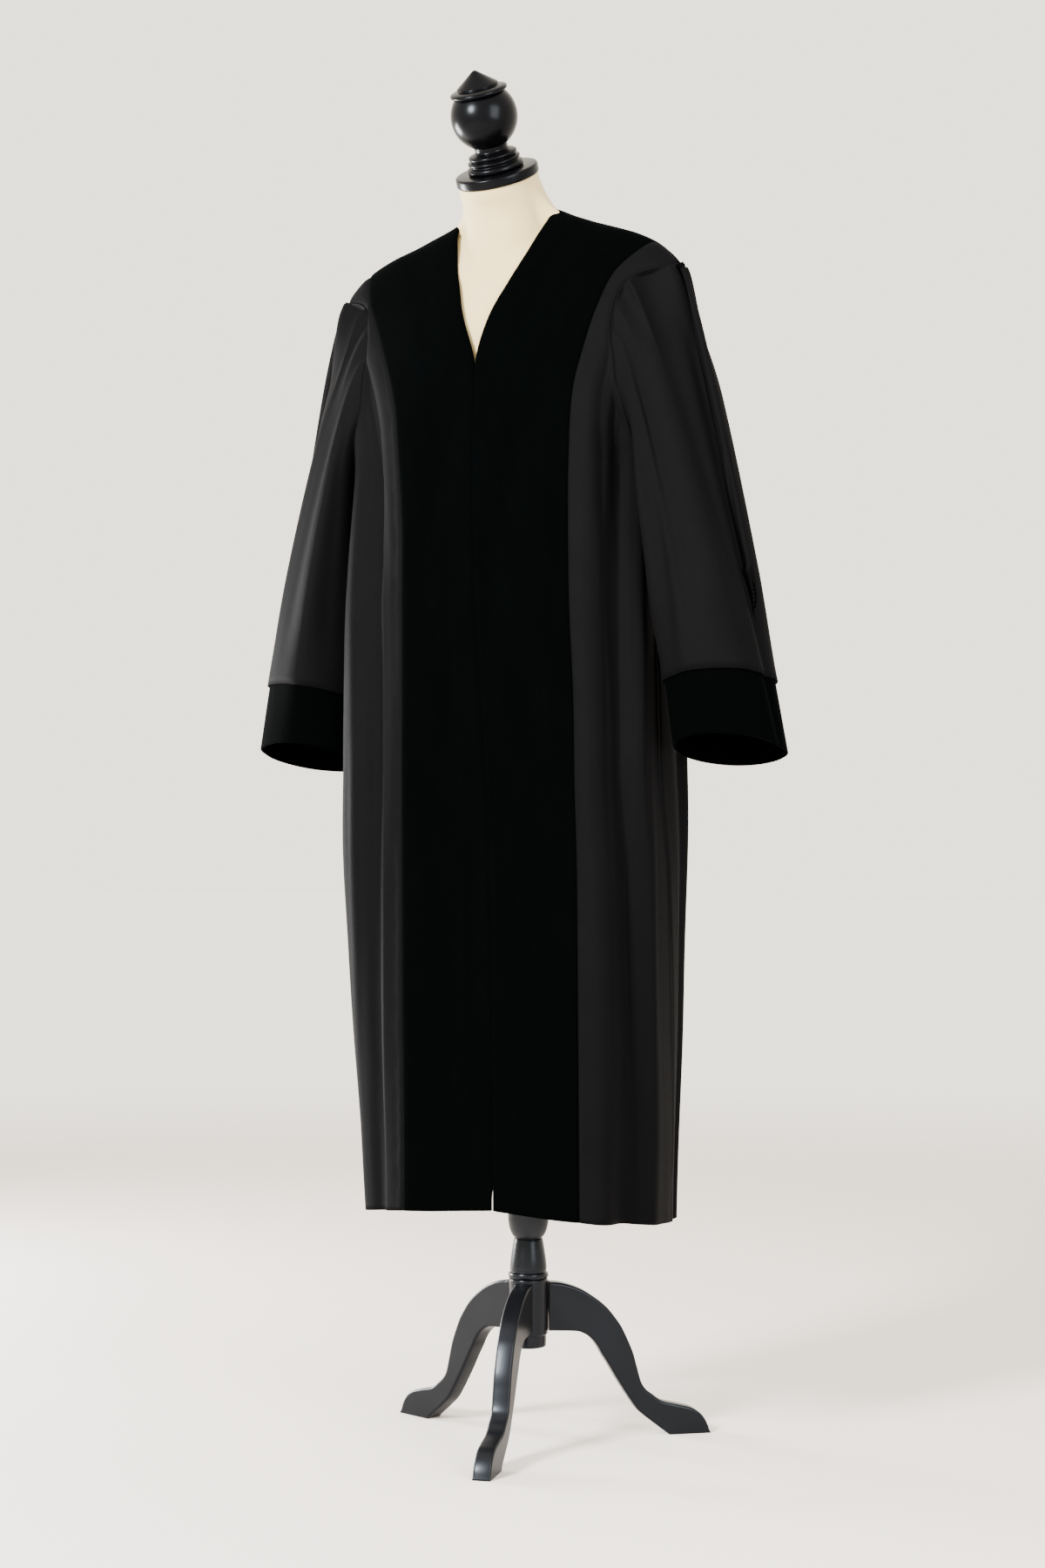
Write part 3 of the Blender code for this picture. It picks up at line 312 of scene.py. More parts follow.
# The robe's rings, which the torso follows inside. height, half width, front depth, back
# depth, y of the widest line, power of x and of y in front, power of x behind, x of the middle
ROBE_RINGS = np.array([
    (0.260, 0.1855, 0.113, 0.176, -0.026, 4.2, 3.0, 2.3, 0.0050),
    (0.420, 0.1950, 0.113, 0.170, -0.027, 4.4, 3.0, 2.3, 0.0035),
    (0.600, 0.2085, 0.113, 0.160, -0.029, 4.6, 3.0, 2.3, -0.0005),
    (0.820, 0.2200, 0.113, 0.150, -0.030, 4.8, 3.0, 2.3, -0.0035),
    (1.000, 0.2130, 0.113, 0.144, -0.030, 4.6, 3.0, 2.3, -0.0035),
    (1.110, 0.2075, 0.113, 0.140, -0.030, 4.4, 2.8, 2.3, -0.0030),
    (1.205, 0.2050, 0.111, 0.134, -0.031, 4.0, 2.5, 2.3, 0.0),
    (1.300, 0.2270, 0.101, 0.129, -0.037, 2.7, 2.2, 2.0, 0.0),
    (1.355, 0.2400, 0.092, 0.125, -0.041, 2.1, 2.1, 1.7, 0.0),
    (1.400, 0.2470, 0.080, 0.118, -0.045, 1.6, 2.0, 1.4, 0.0),
    (1.430, 0.2460, 0.067, 0.110, -0.047, 1.3, 2.0, 1.2, 0.0),
    (1.447, 0.2380, 0.060, 0.104, -0.047, 1.2, 2.0, 1.1, 0.0),
    (1.463, 0.2230, 0.053, 0.097, -0.047, 1.1, 2.0, 1.05, 0.0),
    (1.477, 0.2050, 0.047, 0.089, -0.046, 1.05, 2.0, 1.0, 0.0),
    (1.490, 0.1790, 0.042, 0.081, -0.045, 1.0, 2.0, 1.0, 0.0),
    (1.506, 0.1350, 0.037, 0.070, -0.042, 1.0, 2.0, 1.0, 0.0),
    (1.520, 0.0950, 0.032, 0.062, -0.040, 1.0, 2.0, 1.0, 0.0),
    (1.531, 0.0700, 0.028, 0.055, -0.039, 1.1, 2.0, 1.2, 0.0),
    (1.545, 0.0340, 0.020, 0.038, -0.039, 1.2, 2.0, 1.3, 0.0)])
BACK_POWER = 2.1


def ring_point(angle, z):
    """Point of the robe's ring at an angle, 0 in front and 90 on the wearer's left: where
    |x / width| ** a + |y / depth| ** b is 1, found by halving the distance from the middle."""
    angle, z = np.broadcast_arrays(np.asarray(angle, float), np.asarray(z, float))
    turn = np.radians(angle)
    front = np.cos(turn) > 0
    wide = row_at(ROBE_RINGS, z, 1)
    deep = np.where(front, row_at(ROBE_RINGS, z, 2), row_at(ROBE_RINGS, z, 3))
    a = np.where(front, row_at(ROBE_RINGS, z, 5), row_at(ROBE_RINGS, z, 7))
    b = np.where(front, row_at(ROBE_RINGS, z, 6), BACK_POWER)
    across, along = np.abs(np.sin(turn)) / wide, np.abs(np.cos(turn)) / deep
    low, high = np.zeros(z.shape), np.full(z.shape, 0.4)
    for _ in range(30):
        r = (low + high) / 2
        inside = (r * across) ** a + (r * along) ** b < 1
        low, high = np.where(inside, r, low), np.where(inside, high, r)
    return np.stack([row_at(ROBE_RINGS, z, 8) + low * np.sin(turn),
                     row_at(ROBE_RINGS, z, 4) - low * np.cos(turn), z], -1)


def robe_surface(angle, z):
    """The robe's smooth surface and its outward normal, from the surface's own slopes."""
    angle, z = np.broadcast_arrays(np.asarray(angle, float), np.asarray(z, float))
    level = ring_point(angle + 0.5, z) - ring_point(angle - 0.5, z)
    above = ring_point(angle, np.minimum(z + 0.002, ROBE_RINGS[-1, 0]))
    rise = above - ring_point(angle, z - 0.002)
    return ring_point(angle, z), unit(np.cross(level, rise))


def front_angle(x, z):
    """Angle at which the front of the ring has a given x."""
    x = x - row_at(ROBE_RINGS, z, 8)
    share = np.clip(np.abs(x) / row_at(ROBE_RINGS, z, 1), 0, 1) ** row_at(ROBE_RINGS, z, 5)
    return np.degrees(np.arctan2(x, row_at(ROBE_RINGS, z, 2)
                                 * (1 - share) ** (1 / row_at(ROBE_RINGS, z, 6))))


def back_angle(x, z):
    """Angle at which the back of the ring has a given x."""
    share = np.clip(np.abs(x) / row_at(ROBE_RINGS, z, 1), 0, 1) ** row_at(ROBE_RINGS, z, 7)
    return 180 - np.degrees(np.arctan2(x, row_at(ROBE_RINGS, z, 3)
                                       * (1 - share) ** (1 / BACK_POWER)))


TORSO_FOOT = 0.760
TORSO_SPOKES = 112
# height, distance inside the robe
TORSO_INSET = np.array([
    (0.760, 0.060), (0.780, 0.046), (0.830, 0.036), (0.920, 0.036), (1.000, 0.042),
    (1.100, 0.036), (1.205, 0.022), (1.300, 0.012), (1.380, 0.0085), (1.418, 0.0080),
    (1.440, 0.0072), (1.457, 0.0036), (1.468, 0.0035), (1.480, 0.0050), (1.495, 0.0068),
    (1.531, 0.0080)])
# height, radius of the neck, y of its middle
NECK = np.array([
    (1.400, 0.040, -0.050), (1.450, 0.052, -0.044), (1.485, 0.0560, -0.0410),
    (1.511, 0.0555, -0.0435), (1.521, 0.0550, -0.0450), (1.532, 0.0545, -0.0480),
    (1.545, 0.0530, -0.0540)])
CAP_MIDDLE = np.array((0.001, -0.080, 1.5837))
CAP_AXIS = np.array((0.030, -0.472, 0.881))
spokes = np.arange(TORSO_SPOKES) * 2 * math.pi / TORSO_SPOKES
torso_z = np.concatenate([[TORSO_FOOT, 0.785], np.linspace(0.81, 1.38, 20),
                          np.linspace(1.39, 1.522, 24)])[:, None] + 0 * spokes
wide_x = (np.sign(np.sin(spokes)) * (1 - 1e-4) * row_at(ROBE_RINGS, torso_z, 1)
          * np.abs(np.sin(spokes)) ** (2 / row_at(ROBE_RINGS, torso_z, 5)))
torso_angle = np.where(np.cos(spokes) > 0,
                       front_angle(wide_x + row_at(ROBE_RINGS, torso_z, 8), torso_z),
                       back_angle(wide_x, torso_z))
spoke_turn = (np.degrees(spokes) + 90) % 360 - 90
evening = ramp(1.430, 1.500, torso_z)
torso_angle = torso_angle + ((spoke_turn - torso_angle + 180) % 360 - 180) * evening
torso, torso_out = robe_surface(torso_angle, torso_z)
torso -= torso_out * row_at(TORSO_INSET, torso_z, 1)[..., None]
torso[0, :, 2] = TORSO_FOOT
# The neck is a round ring; where it reaches further out than the shoulders it takes over,
# and the two flow together softly
middle = row_at(ROBE_RINGS, torso[..., 2], 4)
bearing = np.arctan2(torso[..., 0], middle - torso[..., 1])
reach = np.hypot(torso[..., 0], middle - torso[..., 1])
neck_r, neck_y = row_at(NECK, torso[..., 2], 1), row_at(NECK, torso[..., 2], 2) - middle
neck_reach = (torso_z > 1.43) * (-neck_y * np.cos(bearing) + np.sqrt(
    np.maximum(neck_r ** 2 - (neck_y * np.sin(bearing)) ** 2, 0)))
flow = np.maximum(0.006 - np.abs(reach - neck_reach), 0) ** 2 / 0.006 / 4
reach = np.maximum(reach, neck_reach) + flow
torso = np.stack([reach * np.sin(bearing), middle - reach * np.cos(bearing), torso[..., 2]], -1)
collar = []
for height, tilt in ((1.532, 0.0648), (1.545, 0.2062)):
    back_forth = -row_at(NECK, height, 1) * np.cos(spokes)
    collar.append(np.stack([row_at(NECK, height, 1) * np.sin(spokes),
                            row_at(NECK, height, 2) + back_forth, height + back_forth * tilt], -1))
cap_axis = unit(CAP_AXIS)
cap_side = unit(np.cross((0.0, 1.0, 0.0), cap_axis))
cap_ahead = np.cross(cap_side, cap_axis)
for drop, radius in ((0.0100, 0.0505), (0.0004, 0.0498), (0.0, 0.0485)):
    collar.append(CAP_MIDDLE - cap_axis * (0.0128 + drop) + radius * (
        np.sin(spokes)[:, None] * cap_side + np.cos(spokes)[:, None] * cap_ahead))
torso = np.concatenate([torso, collar])
for _ in range(4):  # the stretched jersey bridges the unevenness
    torso[45:48] += 0.5 * ((torso[44:47] + torso[46:49]) / 2 - torso[45:48])
# Rings between those rings, on smooth curves through them
ring_table = np.concatenate([np.arange(len(torso))[:, None], torso.reshape(len(torso), -1)], 1)
finer = np.concatenate([np.arange(0, 46, 1.0), np.linspace(46, 49, 17), [49.5, 50.0]])
torso = np.stack([row_at(ring_table, finer, i + 1) for i in range(ring_table.shape[1] - 1)], -1)
torso = torso.reshape(len(finer), TORSO_SPOKES, 3) + STAND_AT
i, j = np.meshgrid(np.arange(len(finer) - 1), np.arange(TORSO_SPOKES), indexing="ij")
k = (j + 1) % TORSO_SPOKES
torso_faces = np.stack([i * TORSO_SPOKES + j, i * TORSO_SPOKES + k, (i + 1) * TORSO_SPOKES + k,
                        (i + 1) * TORSO_SPOKES + j], -1).reshape(-1, 4).tolist()
torso_faces += [list(range(TORSO_SPOKES))[::-1],
                [(len(finer) - 1) * TORSO_SPOKES + j for j in range(TORSO_SPOKES)]]
jersey = Finish("ivory_jersey", Sheen_Weight=0.25, Sheen_Roughness=0.5, Specular_IOR_Level=0.25)
wale = jersey.node("ShaderNodeTexWave", {"bands_direction": "DIAGONAL"},
                   {"Vector": jersey.place((1.0, 1.0, 0.05)), "Scale": 190.0,
                    "Distortion": 0.6, "Detail": 1.0, "Detail Scale": 3.0})
loops = jersey.noise(jersey.place((1.0, 1.0, 0.6)), 900.0, 2.0)
tone = jersey.noise(jersey.place(), 9.0, 3.0)
jersey.feed(jersey.shader.inputs["Base Color"],
            jersey.tint(tone, (0.39, 0.298, 0.136), (0.45, 0.353, 0.174)))
jersey.feed(jersey.shader.inputs["Roughness"], 0.80 + loops * 0.15)
jersey.relief(wale * 0.5 + loops * 0.5, 0.0003, 0.5)
add_piece("jersey_torso", torso.reshape(-1, 3), torso_faces, jersey.material,
          ["form_torso"])


# ---------------------------------------------------------------------------
# The neck cap and the finial: a flat wooden disc that closes the tilted neck, and on it a
# turned ball between beads, with a pointed lid. Both are lacquered black and polished.

CAP_PROFILE = np.array([
    (-0.0125, 0.0500), (-0.0120, 0.0516), (-0.0105, 0.0523), (-0.0090, 0.0523),
    (-0.0035, 0.0523), (-0.0015, 0.0520), (-0.0004, 0.0510), (0.0, 0.0490)])
# height over the cap, radius
FINIAL_FOOT = np.array([
    (0.0003, 0.0325), (0.0008, 0.0342), (0.0020, 0.0351), (0.0038, 0.0354), (0.0058, 0.0351),
    (0.0072, 0.0342), (0.0082, 0.0322), (0.0090, 0.0311), (0.0100, 0.0311), (0.0108, 0.0320),
    (0.0116, 0.0329), (0.0128, 0.0331), (0.0140, 0.0328), (0.0149, 0.0312), (0.0156, 0.0288),
    (0.0161, 0.0280), (0.0168, 0.0290), (0.0178, 0.0302), (0.0194, 0.0307), (0.0210, 0.0300),
    (0.0224, 0.0272), (0.0236, 0.0228), (0.0248, 0.0210), (0.0268, 0.0205), (0.0290, 0.0210)])
BALL_MIDDLE, BALL_RADIUS = 0.0668, 0.0415
FINIAL_LID = np.array([
    (0.0938, 0.0312), (0.0946, 0.0320), (0.0952, 0.0342), (0.0962, 0.0355), (0.0978, 0.0359),
    (0.0994, 0.0355), (0.1006, 0.0340), (0.1018, 0.0300), (0.1024, 0.0264), (0.1030, 0.0257),
    (0.1036, 0.0257), (0.1044, 0.0263), (0.1056, 0.0256), (0.1100, 0.0196), (0.1150, 0.0130),
    (0.1195, 0.0070), (0.1222, 0.0036), (0.1234, 0.0016)])
around_ball = np.linspace(-1.06, 0.74, 40)
ball_line = np.stack([BALL_MIDDLE + BALL_RADIUS * np.sin(around_ball),
                      BALL_RADIUS * np.cos(around_ball)], -1)
finial_line = np.concatenate([soften(FINIAL_FOOT), ball_line, soften(FINIAL_LID)])
polish = Finish("polished_lacquer", Base_Color=(0.0008, 0.0008, 0.0011, 1), Coat_Weight=0.0,
                Specular_IOR_Level=0.066, Specular_Tint=(0.85, 0.92, 1.0, 1))
ripple = polish.noise(polish.place(), 45.0, 2.0)
polish.feed(polish.shader.inputs["Roughness"], 0.23 + ripple * 0.05)
polish.relief(ripple, 0.0002, 0.4)
add_turned("cap_disc", soften(CAP_PROFILE), CAP_MIDDLE + STAND_AT, CAP_AXIS, polish.material,
           ["neck_cap"])
add_turned("finial_ball", finial_line, CAP_MIDDLE + STAND_AT, CAP_AXIS, polish.material,
           ["finial"])


# ---------------------------------------------------------------------------
# The back: one wide panel of black wool twill, cut straight, gathered by two rows of
# running stitch into the yoke seam and hemmed by hand. It falls in tube-like folds.

SEAM_HALF = 0.00022  # each panel stops this far from the seam's middle
SEAM_DIP = 0.0012  # the cloth turns in this deep at a seam
SEAM_WIDE = 0.0045  # over this width
WOOL_WALL, VELVET_WALL = 0.0014, 0.0020
WOOL_OUT, VELVET_OUT = 0.0010, 0.0016  # outer faces over the robe's smooth surface
# front, side, back, the lean to the right, and how much higher the back's middle is
HEM = (0.304, 0.282, 0.272, 0.003, 0.026)
UNDERARM, TIP, YOKE_SEAM = 1.205, 1.447, 1.392
NECK_TOP = (1.5345, 1.531)  # of the neckline on the wearer's left and right
UPPER, BACK_UPPER = 14, 9  # steps from the underarm to the shoulder tip, and to the yoke
ARMHOLE_CROWD = 1.38  # how far the armhole's steps crowd towards the tip
NECK_CROWD = 1.7  # how far a neckline's steps crowd towards its top
BACK_COLUMNS = 30
SHOULDER_COLUMNS = 8  # of them, those under each shoulder seam
# height, angle of the side seam
SIDE_SEAM = np.array([
    (0.260, 109.0), (0.400, 107.0), (0.550, 99.0), (0.700, 91.0), (0.850, 84.0),
    (1.000, 85.0), (1.205, 88.0)])
# share of the armhole from underarm to tip, height, front angle, back angle
ARMHOLE = np.array([
    (0.00, 1.205, 88.0, 88.0), (0.20, 1.228, 77.0, 101.0), (0.40, 1.283, 70.5, 108.0),
    (0.60, 1.342, 70.0, 109.0), (0.80, 1.402, 74.5, 104.0), (0.92, 1.435, 81.5, 97.0),
    (1.00, 1.447, 90.0, 90.0)])


def hem_at(angle):
    """Height of the hem: level cosine waves between front, sides and back, whose middle is
    cut a little higher."""
    turn = np.radians(angle)
    return ((HEM[0] + HEM[2]) / 2 + (HEM[0] - HEM[2]) / 2 * np.cos(turn)
            + (HEM[1] - (HEM[0] + HEM[2]) / 2) * np.sin(turn) ** 2 + HEM[3] * np.sin(turn)
            + HEM[4] * ramp(-0.50, -0.80, np.cos(turn)))


def armhole(step, column):
    """A column of the armhole's table at a step, as steps crowd towards the tip."""
    return row_at(ARMHOLE, 1 - (1 - np.clip(step, 0, UPPER) / UPPER) ** ARMHOLE_CROWD, column)


def upright(low_angle, upper_z, upper_angle, low_share):
    """An upright edge of a panel: heights from hem to underarm by share, then the rest."""
    hem = hem_at(low_angle(np.array([HEM[0]]))[0])
    z = hem + (UNDERARM - hem) * low_share
    return (np.concatenate([low_angle(z), upper_angle])[:, None],
            np.concatenate([z, upper_z])[:, None])


def crease(share, z, rows):
    """Sum of soft troughs and ridges: along a line from one share and height to another,
    height times exp(-(distance / width) ** 2), a little steeper on one side, and fading in
    and out over the ends of its length."""
    total = np.zeros(np.broadcast(share, z).shape)
    for top, bottom, high, low, wide, height, lean in rows:
        t = np.clip((high - z) / (high - low), 0, 1)
        line = top + (bottom - top) * t + 0.4 * wide * np.sin(7 * t + 30 * top) * (1 - t) * t
        off = (share - line) / (wide * (0.75 + 0.5 * t))
        off = off * (1 + lean * np.tanh(off))
        total += height * np.exp(-off ** 2) * ramp(-0.02, 0.22, t) * ramp(1.02, 0.80, t)
    return total


def waver(u, v, rows):
    """Faint unevenness of hanging cloth: a sum of slow sine waves across and along."""
    return sum(height * np.sin(across * u + along * v + shift)
               for across, along, shift, height in rows)


HANG = ((23.0, 9.0, 0.4, 0.0006), (41.0, -6.0, 1.7, 0.0004), (11.0, 21.0, 2.9, 0.0004),
        (67.0, 13.0, 0.9, 0.00022))


def inward(edge, beside):
    """Unit vectors from an edge into its panel, square to the edge."""
    along = unit(np.gradient(edge, axis=0))
    into = beside - edge
    return unit(into - along * np.sum(into * along, axis=-1, keepdims=True))


def shell(middle, out, outer, wall, wraps):
    """A thin closed wall on a grid of points: one face moved out along the normals, the
    other a wall's thickness further in, with rims between. Threads are the distances
    across each row and down each column, in metres."""
    rows, columns = middle.shape[:2]
    points = np.concatenate([(middle + out * outer).reshape(-1, 3),
                             (middle + out * (outer - wall)).reshape(-1, 3)])
    i, j = np.meshgrid(np.arange(rows - 1), np.arange(columns if wraps else columns - 1),
                       indexing="ij")
    ring = middle[:, np.r_[:columns, 0]] if wraps else middle
    u = np.concatenate([np.zeros((rows, 1)), np.linalg.norm(
        np.diff(ring, axis=1), axis=-1).cumsum(1)], 1)
    v = np.concatenate([[0], np.linalg.norm(np.diff(middle, axis=0), axis=-1).mean(1).cumsum()])
    u = u - u.mean(1, keepdims=True)
    back, n = rows * columns, columns

    def corner(row, column):
        """A grid point's number in the mesh, and its place on the cloth."""
        return row * n + column % n, np.stack([u[row, column], v[row]], -1)

    quads, threads = [], []
    for corners, flip in (((i, j), (i, j + 1), (i + 1, j + 1), (i + 1, j)), False), (
            ((i + 1, j), (i + 1, j + 1), (i, j + 1), (i, j)), True):
        made = [corner(*at) for at in corners]
        quads.append(np.stack([m[0] + back * flip for m in made], -1).reshape(-1, 4))
        threads.append(np.stack([m[1] for m in made], -2).reshape(-1, 4, 2))
    across = np.arange(columns if wraps else columns - 1)
    rims = [(np.zeros_like(across), across, across + 1, True),
            (np.full_like(across, rows - 1), across, across + 1, False)]
    for row, first, last, under in rims:
        (a, ta), (b, tb) = corner(row, first), corner(row, last)
        quads.append(np.stack([a + back, b + back, b, a] if under else [a, b, b + back, a + back],
                              -1))
        threads.append(np.stack([ta, tb, tb, ta], -2))
    if not wraps:
        up = np.arange(rows - 1)
        for column, flip in ((0, False), (columns - 1, True)):
            (a, ta), (b, tb) = corner(up, np.full_like(up, column)), corner(
                up + 1, np.full_like(up, column))
            quads.append(np.stack([b, a, a + back, b + back] if flip is False
                                  else [a, b, b + back, a + back], -1)[:, ::-1])
            threads.append(np.stack([ta, tb, tb, ta], -2))
    return points + STAND_AT, np.concatenate(quads), np.concatenate(threads).reshape(-1, 2)


def turned_under(edge, beside, out, wide):
    """Two more points at each place of an edge: its allowance, turned in and laid under the
    neighbour by the given width. It thins out where the shoulders leave no room."""
    away = -inward(edge, beside)
    room = (0.1 + 0.9 * ramp(1.458, 1.435, edge[:, 2]))[:, None]
    wide = np.broadcast_to(wide, len(edge))[:, None]
    bent = edge + away * 0.00015 - out * 0.0018 * room
    return bent, edge + away * (0.00015 + wide * room) - out * 0.0022 * room


def panel(angle, z, lift, outer, wall, part_first=0.0, part_last=0.0, dip_top=False,
          under_first=None, under_last=None):
    """A panel on the robe's surface: lift is its folds' height. It turns in at its seams,
    stops just short of them, parts from its neighbour by the given distances, and reaches
    under it by the width of its allowances."""
    middle, out = robe_surface(angle, z)
    wide = np.linalg.norm(np.diff(middle, axis=1), axis=-1)
    from_first = np.concatenate([np.zeros((len(z), 1)), wide.cumsum(1)], 1)
    from_last = from_first[:, -1:] - from_first
    seam = np.minimum(from_first, from_last)
    if dip_top:
        tall = np.linalg.norm(np.diff(middle, axis=0), axis=-1)
        below = np.concatenate([np.zeros((1, middle.shape[1])), tall.cumsum(0)], 0)
        seam = np.minimum(seam, below[-1:] - below)
    lift = lift - SEAM_DIP * (1 - ramp(0, SEAM_WIDE, seam))
    middle = middle + out * lift[..., None]
    own = unit(np.cross(np.gradient(middle, axis=1), np.gradient(middle, axis=0)))
    out[:-1, 1:-1] = own[:-1, 1:-1]
    middle[:, 0] += inward(middle[:, 0], middle[:, 1]) * (SEAM_HALF + part_first)
    middle[:, -1] += inward(middle[:, -1], middle[:, -2]) * (SEAM_HALF + part_last)
    if dip_top:
        laid = turned_under(middle[-1], middle[-2], out[-1], 0.006)
        middle = np.concatenate([middle, laid])
        out = np.concatenate([out, out[-1:], out[-1:]])
    if under_first is not None:
        bent, laid = turned_under(middle[:, 0], middle[:, 1], out[:, 0], under_first)
        middle = np.concatenate([laid[:, None], bent[:, None], middle], 1)
        out = np.concatenate([out[:, :1], out[:, :1], out], 1)
    if under_last is not None:
        bent, laid = turned_under(middle[:, -1], middle[:, -2], out[:, -1], under_last)
        middle = np.concatenate([middle, bent[:, None], laid[:, None]], 1)
        out = np.concatenate([out, out[:, -1:], out[:, -1:]], 1)
    return shell(middle, out, outer, wall, False)


# Black wool twill: diagonal ribs finer than half a millimetre, slubs and a soft sheen
wool = Finish("black_wool", Sheen_Weight=0.004, Sheen_Roughness=0.48,
              Sheen_Tint=(0.62, 0.66, 0.74, 1), Specular_IOR_Level=0.015)
threads_at = wool.place((1.0, 1.0, 1.0), cloth=True)
rib = wool.node("ShaderNodeTexWave", {"bands_direction": "DIAGONAL"},
                {"Vector": threads_at, "Scale": 620.0, "Distortion": 1.2, "Detail": 1.0,
                 "Detail Scale": 2.0})
slub = wool.noise(wool.place((3.0, 0.35, 1.0), cloth=True), 260.0, 3.0)
cloud = wool.noise(threads_at, 16.0, 3.0)
wool.feed(wool.shader.inputs["Base Color"],
          wool.tint(cloud * 0.6 + slub * 0.4, (0.0011, 0.0011, 0.0013), (0.0019, 0.0019, 0.0022)))
wool.feed(wool.shader.inputs["Roughness"], 0.62 + slub * 0.14)
# Hand-sewn hem: a faint row of pricks 34 mm up from the edge
up_cloth = wool.node("ShaderNodeSeparateXYZ", {}, {0: threads_at}, 1)
off_line = wool.node("ShaderNodeMath", {"operation": "ABSOLUTE"}, {0: up_cloth - 0.034})
on_line = wool.node("ShaderNodeMapRange", {}, {"Value": off_line, "From Min": 0.0012,
                                               "From Max": 0.0002})
prick = wool.node("ShaderNodeTexWave", {"bands_direction": "X"},
                  {"Vector": threads_at, "Scale": 52.0}).power(6.0)
world_up = wool.node("ShaderNodeSeparateXYZ", {}, {0: wool.place()}, 2)
near_floor = wool.node("ShaderNodeMapRange", {}, {"Value": world_up, "From Min": 0.50,
                                                  "From Max": 0.45})
wool.relief(rib * 0.45 + slub * 0.55 - (prick * 0.8 + 0.4) * on_line * near_floor * 1.6,
            0.00022, 0.45)

GATHER_DEPTH = 0.0075
# share at the top and at the foot, heights of both ends, half width, height, lean: folds
# that run on where the gathers flatten
BACK_CREASES = (
    (0.17, 0.15, 1.18, 0.30, 0.020, -0.0040, 0.2), (0.34, 0.31, 1.25, 0.30, 0.016, 0.0035, -0.2),
    (0.47, 0.46, 1.05, 0.29, 0.018, -0.0035, 0.3), (0.60, 0.64, 1.22, 0.30, 0.022, 0.0040, 0.1),
    (0.78, 0.80, 1.12, 0.30, 0.018, -0.0040, -0.3), (0.90, 0.88, 1.00, 0.32, 0.016, 0.0025, 0.2))
low_share = np.linspace(0, 1, 121)
back_step = np.linspace(0, BACK_UPPER, 55)[1:]
column = np.linspace(0, BACK_COLUMNS, 241)
share = column / BACK_COLUMNS
across = share + 0.010 * np.sin(2 * math.pi * share) * np.sin(17 * share)
left_angle, left_z = upright(lambda z: row_at(SIDE_SEAM, z, 1), armhole(back_step, 1),
                             armhole(back_step, 3), low_share)
right_angle, right_z = upright(lambda z: -row_at(SIDE_SEAM, z, 1), armhole(back_step, 1),
                               -armhole(back_step, 3), low_share)
back_turn = left_angle * (1 - across) + (360 + right_angle) * across
side_z = left_z * (1 - across) + right_z * across
up_share = np.concatenate([0 * low_share, back_step / BACK_UPPER])[:, None]
hem_share = np.concatenate([1 - low_share, 0 * back_step])[:, None]
mid_rise = np.where(up_share > 0, UNDERARM + (YOKE_SEAM - UNDERARM) * up_share - side_z, 0)
hang = hem_at(back_turn) - hem_at(left_angle[0]) * (1 - across) - hem_at(right_angle[0]) * across
back_z = side_z + mid_rise * np.sin(math.pi * across) + hang * hem_share
from_seam = np.minimum(column, BACK_COLUMNS - column)
from_yoke = back_z[-1] - back_z
# The folds fan out evenly from the yoke, whatever the armhole does beside them
half_turn = np.where(left_z < UNDERARM, (back_turn[:, -1:] - back_turn[:, :1]) / 2, 92.0)
fan = 73 + (half_turn - 73) * ramp(YOKE_SEAM + 0.10, 0.90, side_z)
own = BACK_COLUMNS / 2 * (1 + (back_turn - 180) / fan)
own = own + 0.22 * np.sin(own * 0.9 + 1.0 + 2.5 * back_z) * ramp(
    0, 4, np.minimum(own, BACK_COLUMNS - own))
from_side = np.minimum(own, BACK_COLUMNS - own)
gather = (-GATHER_DEPTH * np.cos(math.pi * own) * (1 + 0.40 * np.sin(own * 1.9 + 2.0 + back_z))
          * ramp(0, 4.5, from_side) * ramp(0, 2.5, from_seam)
          * (0.40 + 0.60 * ramp(0, 0.45, YOKE_SEAM - back_z)) * ramp(0, 0.05, from_yoke))
tuck = (0.0011 * np.cos(2 * math.pi * own + 1.3 * np.sin(own)) * ramp(0, 2, from_seam)
        * ramp(0.002, 0.012, from_yoke) * ramp(0.11, 0.02, from_yoke))
back_lift = gather + tuck + crease(share, back_z, BACK_CREASES) * ramp(0, 0.04, np.minimum(
    share, 1 - share)) + waver(share * 1.1, back_z, HANG) * ramp(0, 0.04, np.minimum(
        share, 1 - share)) * ramp(0, 0.04, from_yoke)
points, quads, threads = panel(back_turn, back_z, back_lift, WOOL_OUT, WOOL_WALL, dip_top=True)
robe_back = add_piece("robe_back", points, quads, wool.material, ["back"], threads)


# ---------------------------------------------------------------------------
# The yoke: one piece of black cotton velvet over the shoulder blades, from the gathered
# seam to the shoulder seams and the neckline, sewn with the pile running down.

velvet = Finish("black_velvet", Sheen_Weight=0.015, Sheen_Roughness=0.25,
                Sheen_Tint=(0.50, 0.72, 0.76, 1), Specular_IOR_Level=0.006)
pile_at = velvet.place((1.0, 1.0, 1.0), cloth=True)
pile = velvet.noise(pile_at, 1500.0, 2.0)
nap = velvet.noise(velvet.place((1.0, 0.30, 1.0), cloth=True), 30.0, 4.0, 0.6)
velvet.feed(velvet.shader.inputs["Base Color"],
            velvet.tint(nap, (0.0001, 0.0002, 0.0002), (0.0003, 0.0005, 0.0005)))
velvet.feed(velvet.shader.inputs["Roughness"], 0.86 + pile * 0.12)
velvet.relief(pile * 0.5 + nap * 0.5, 0.0005, 0.6)

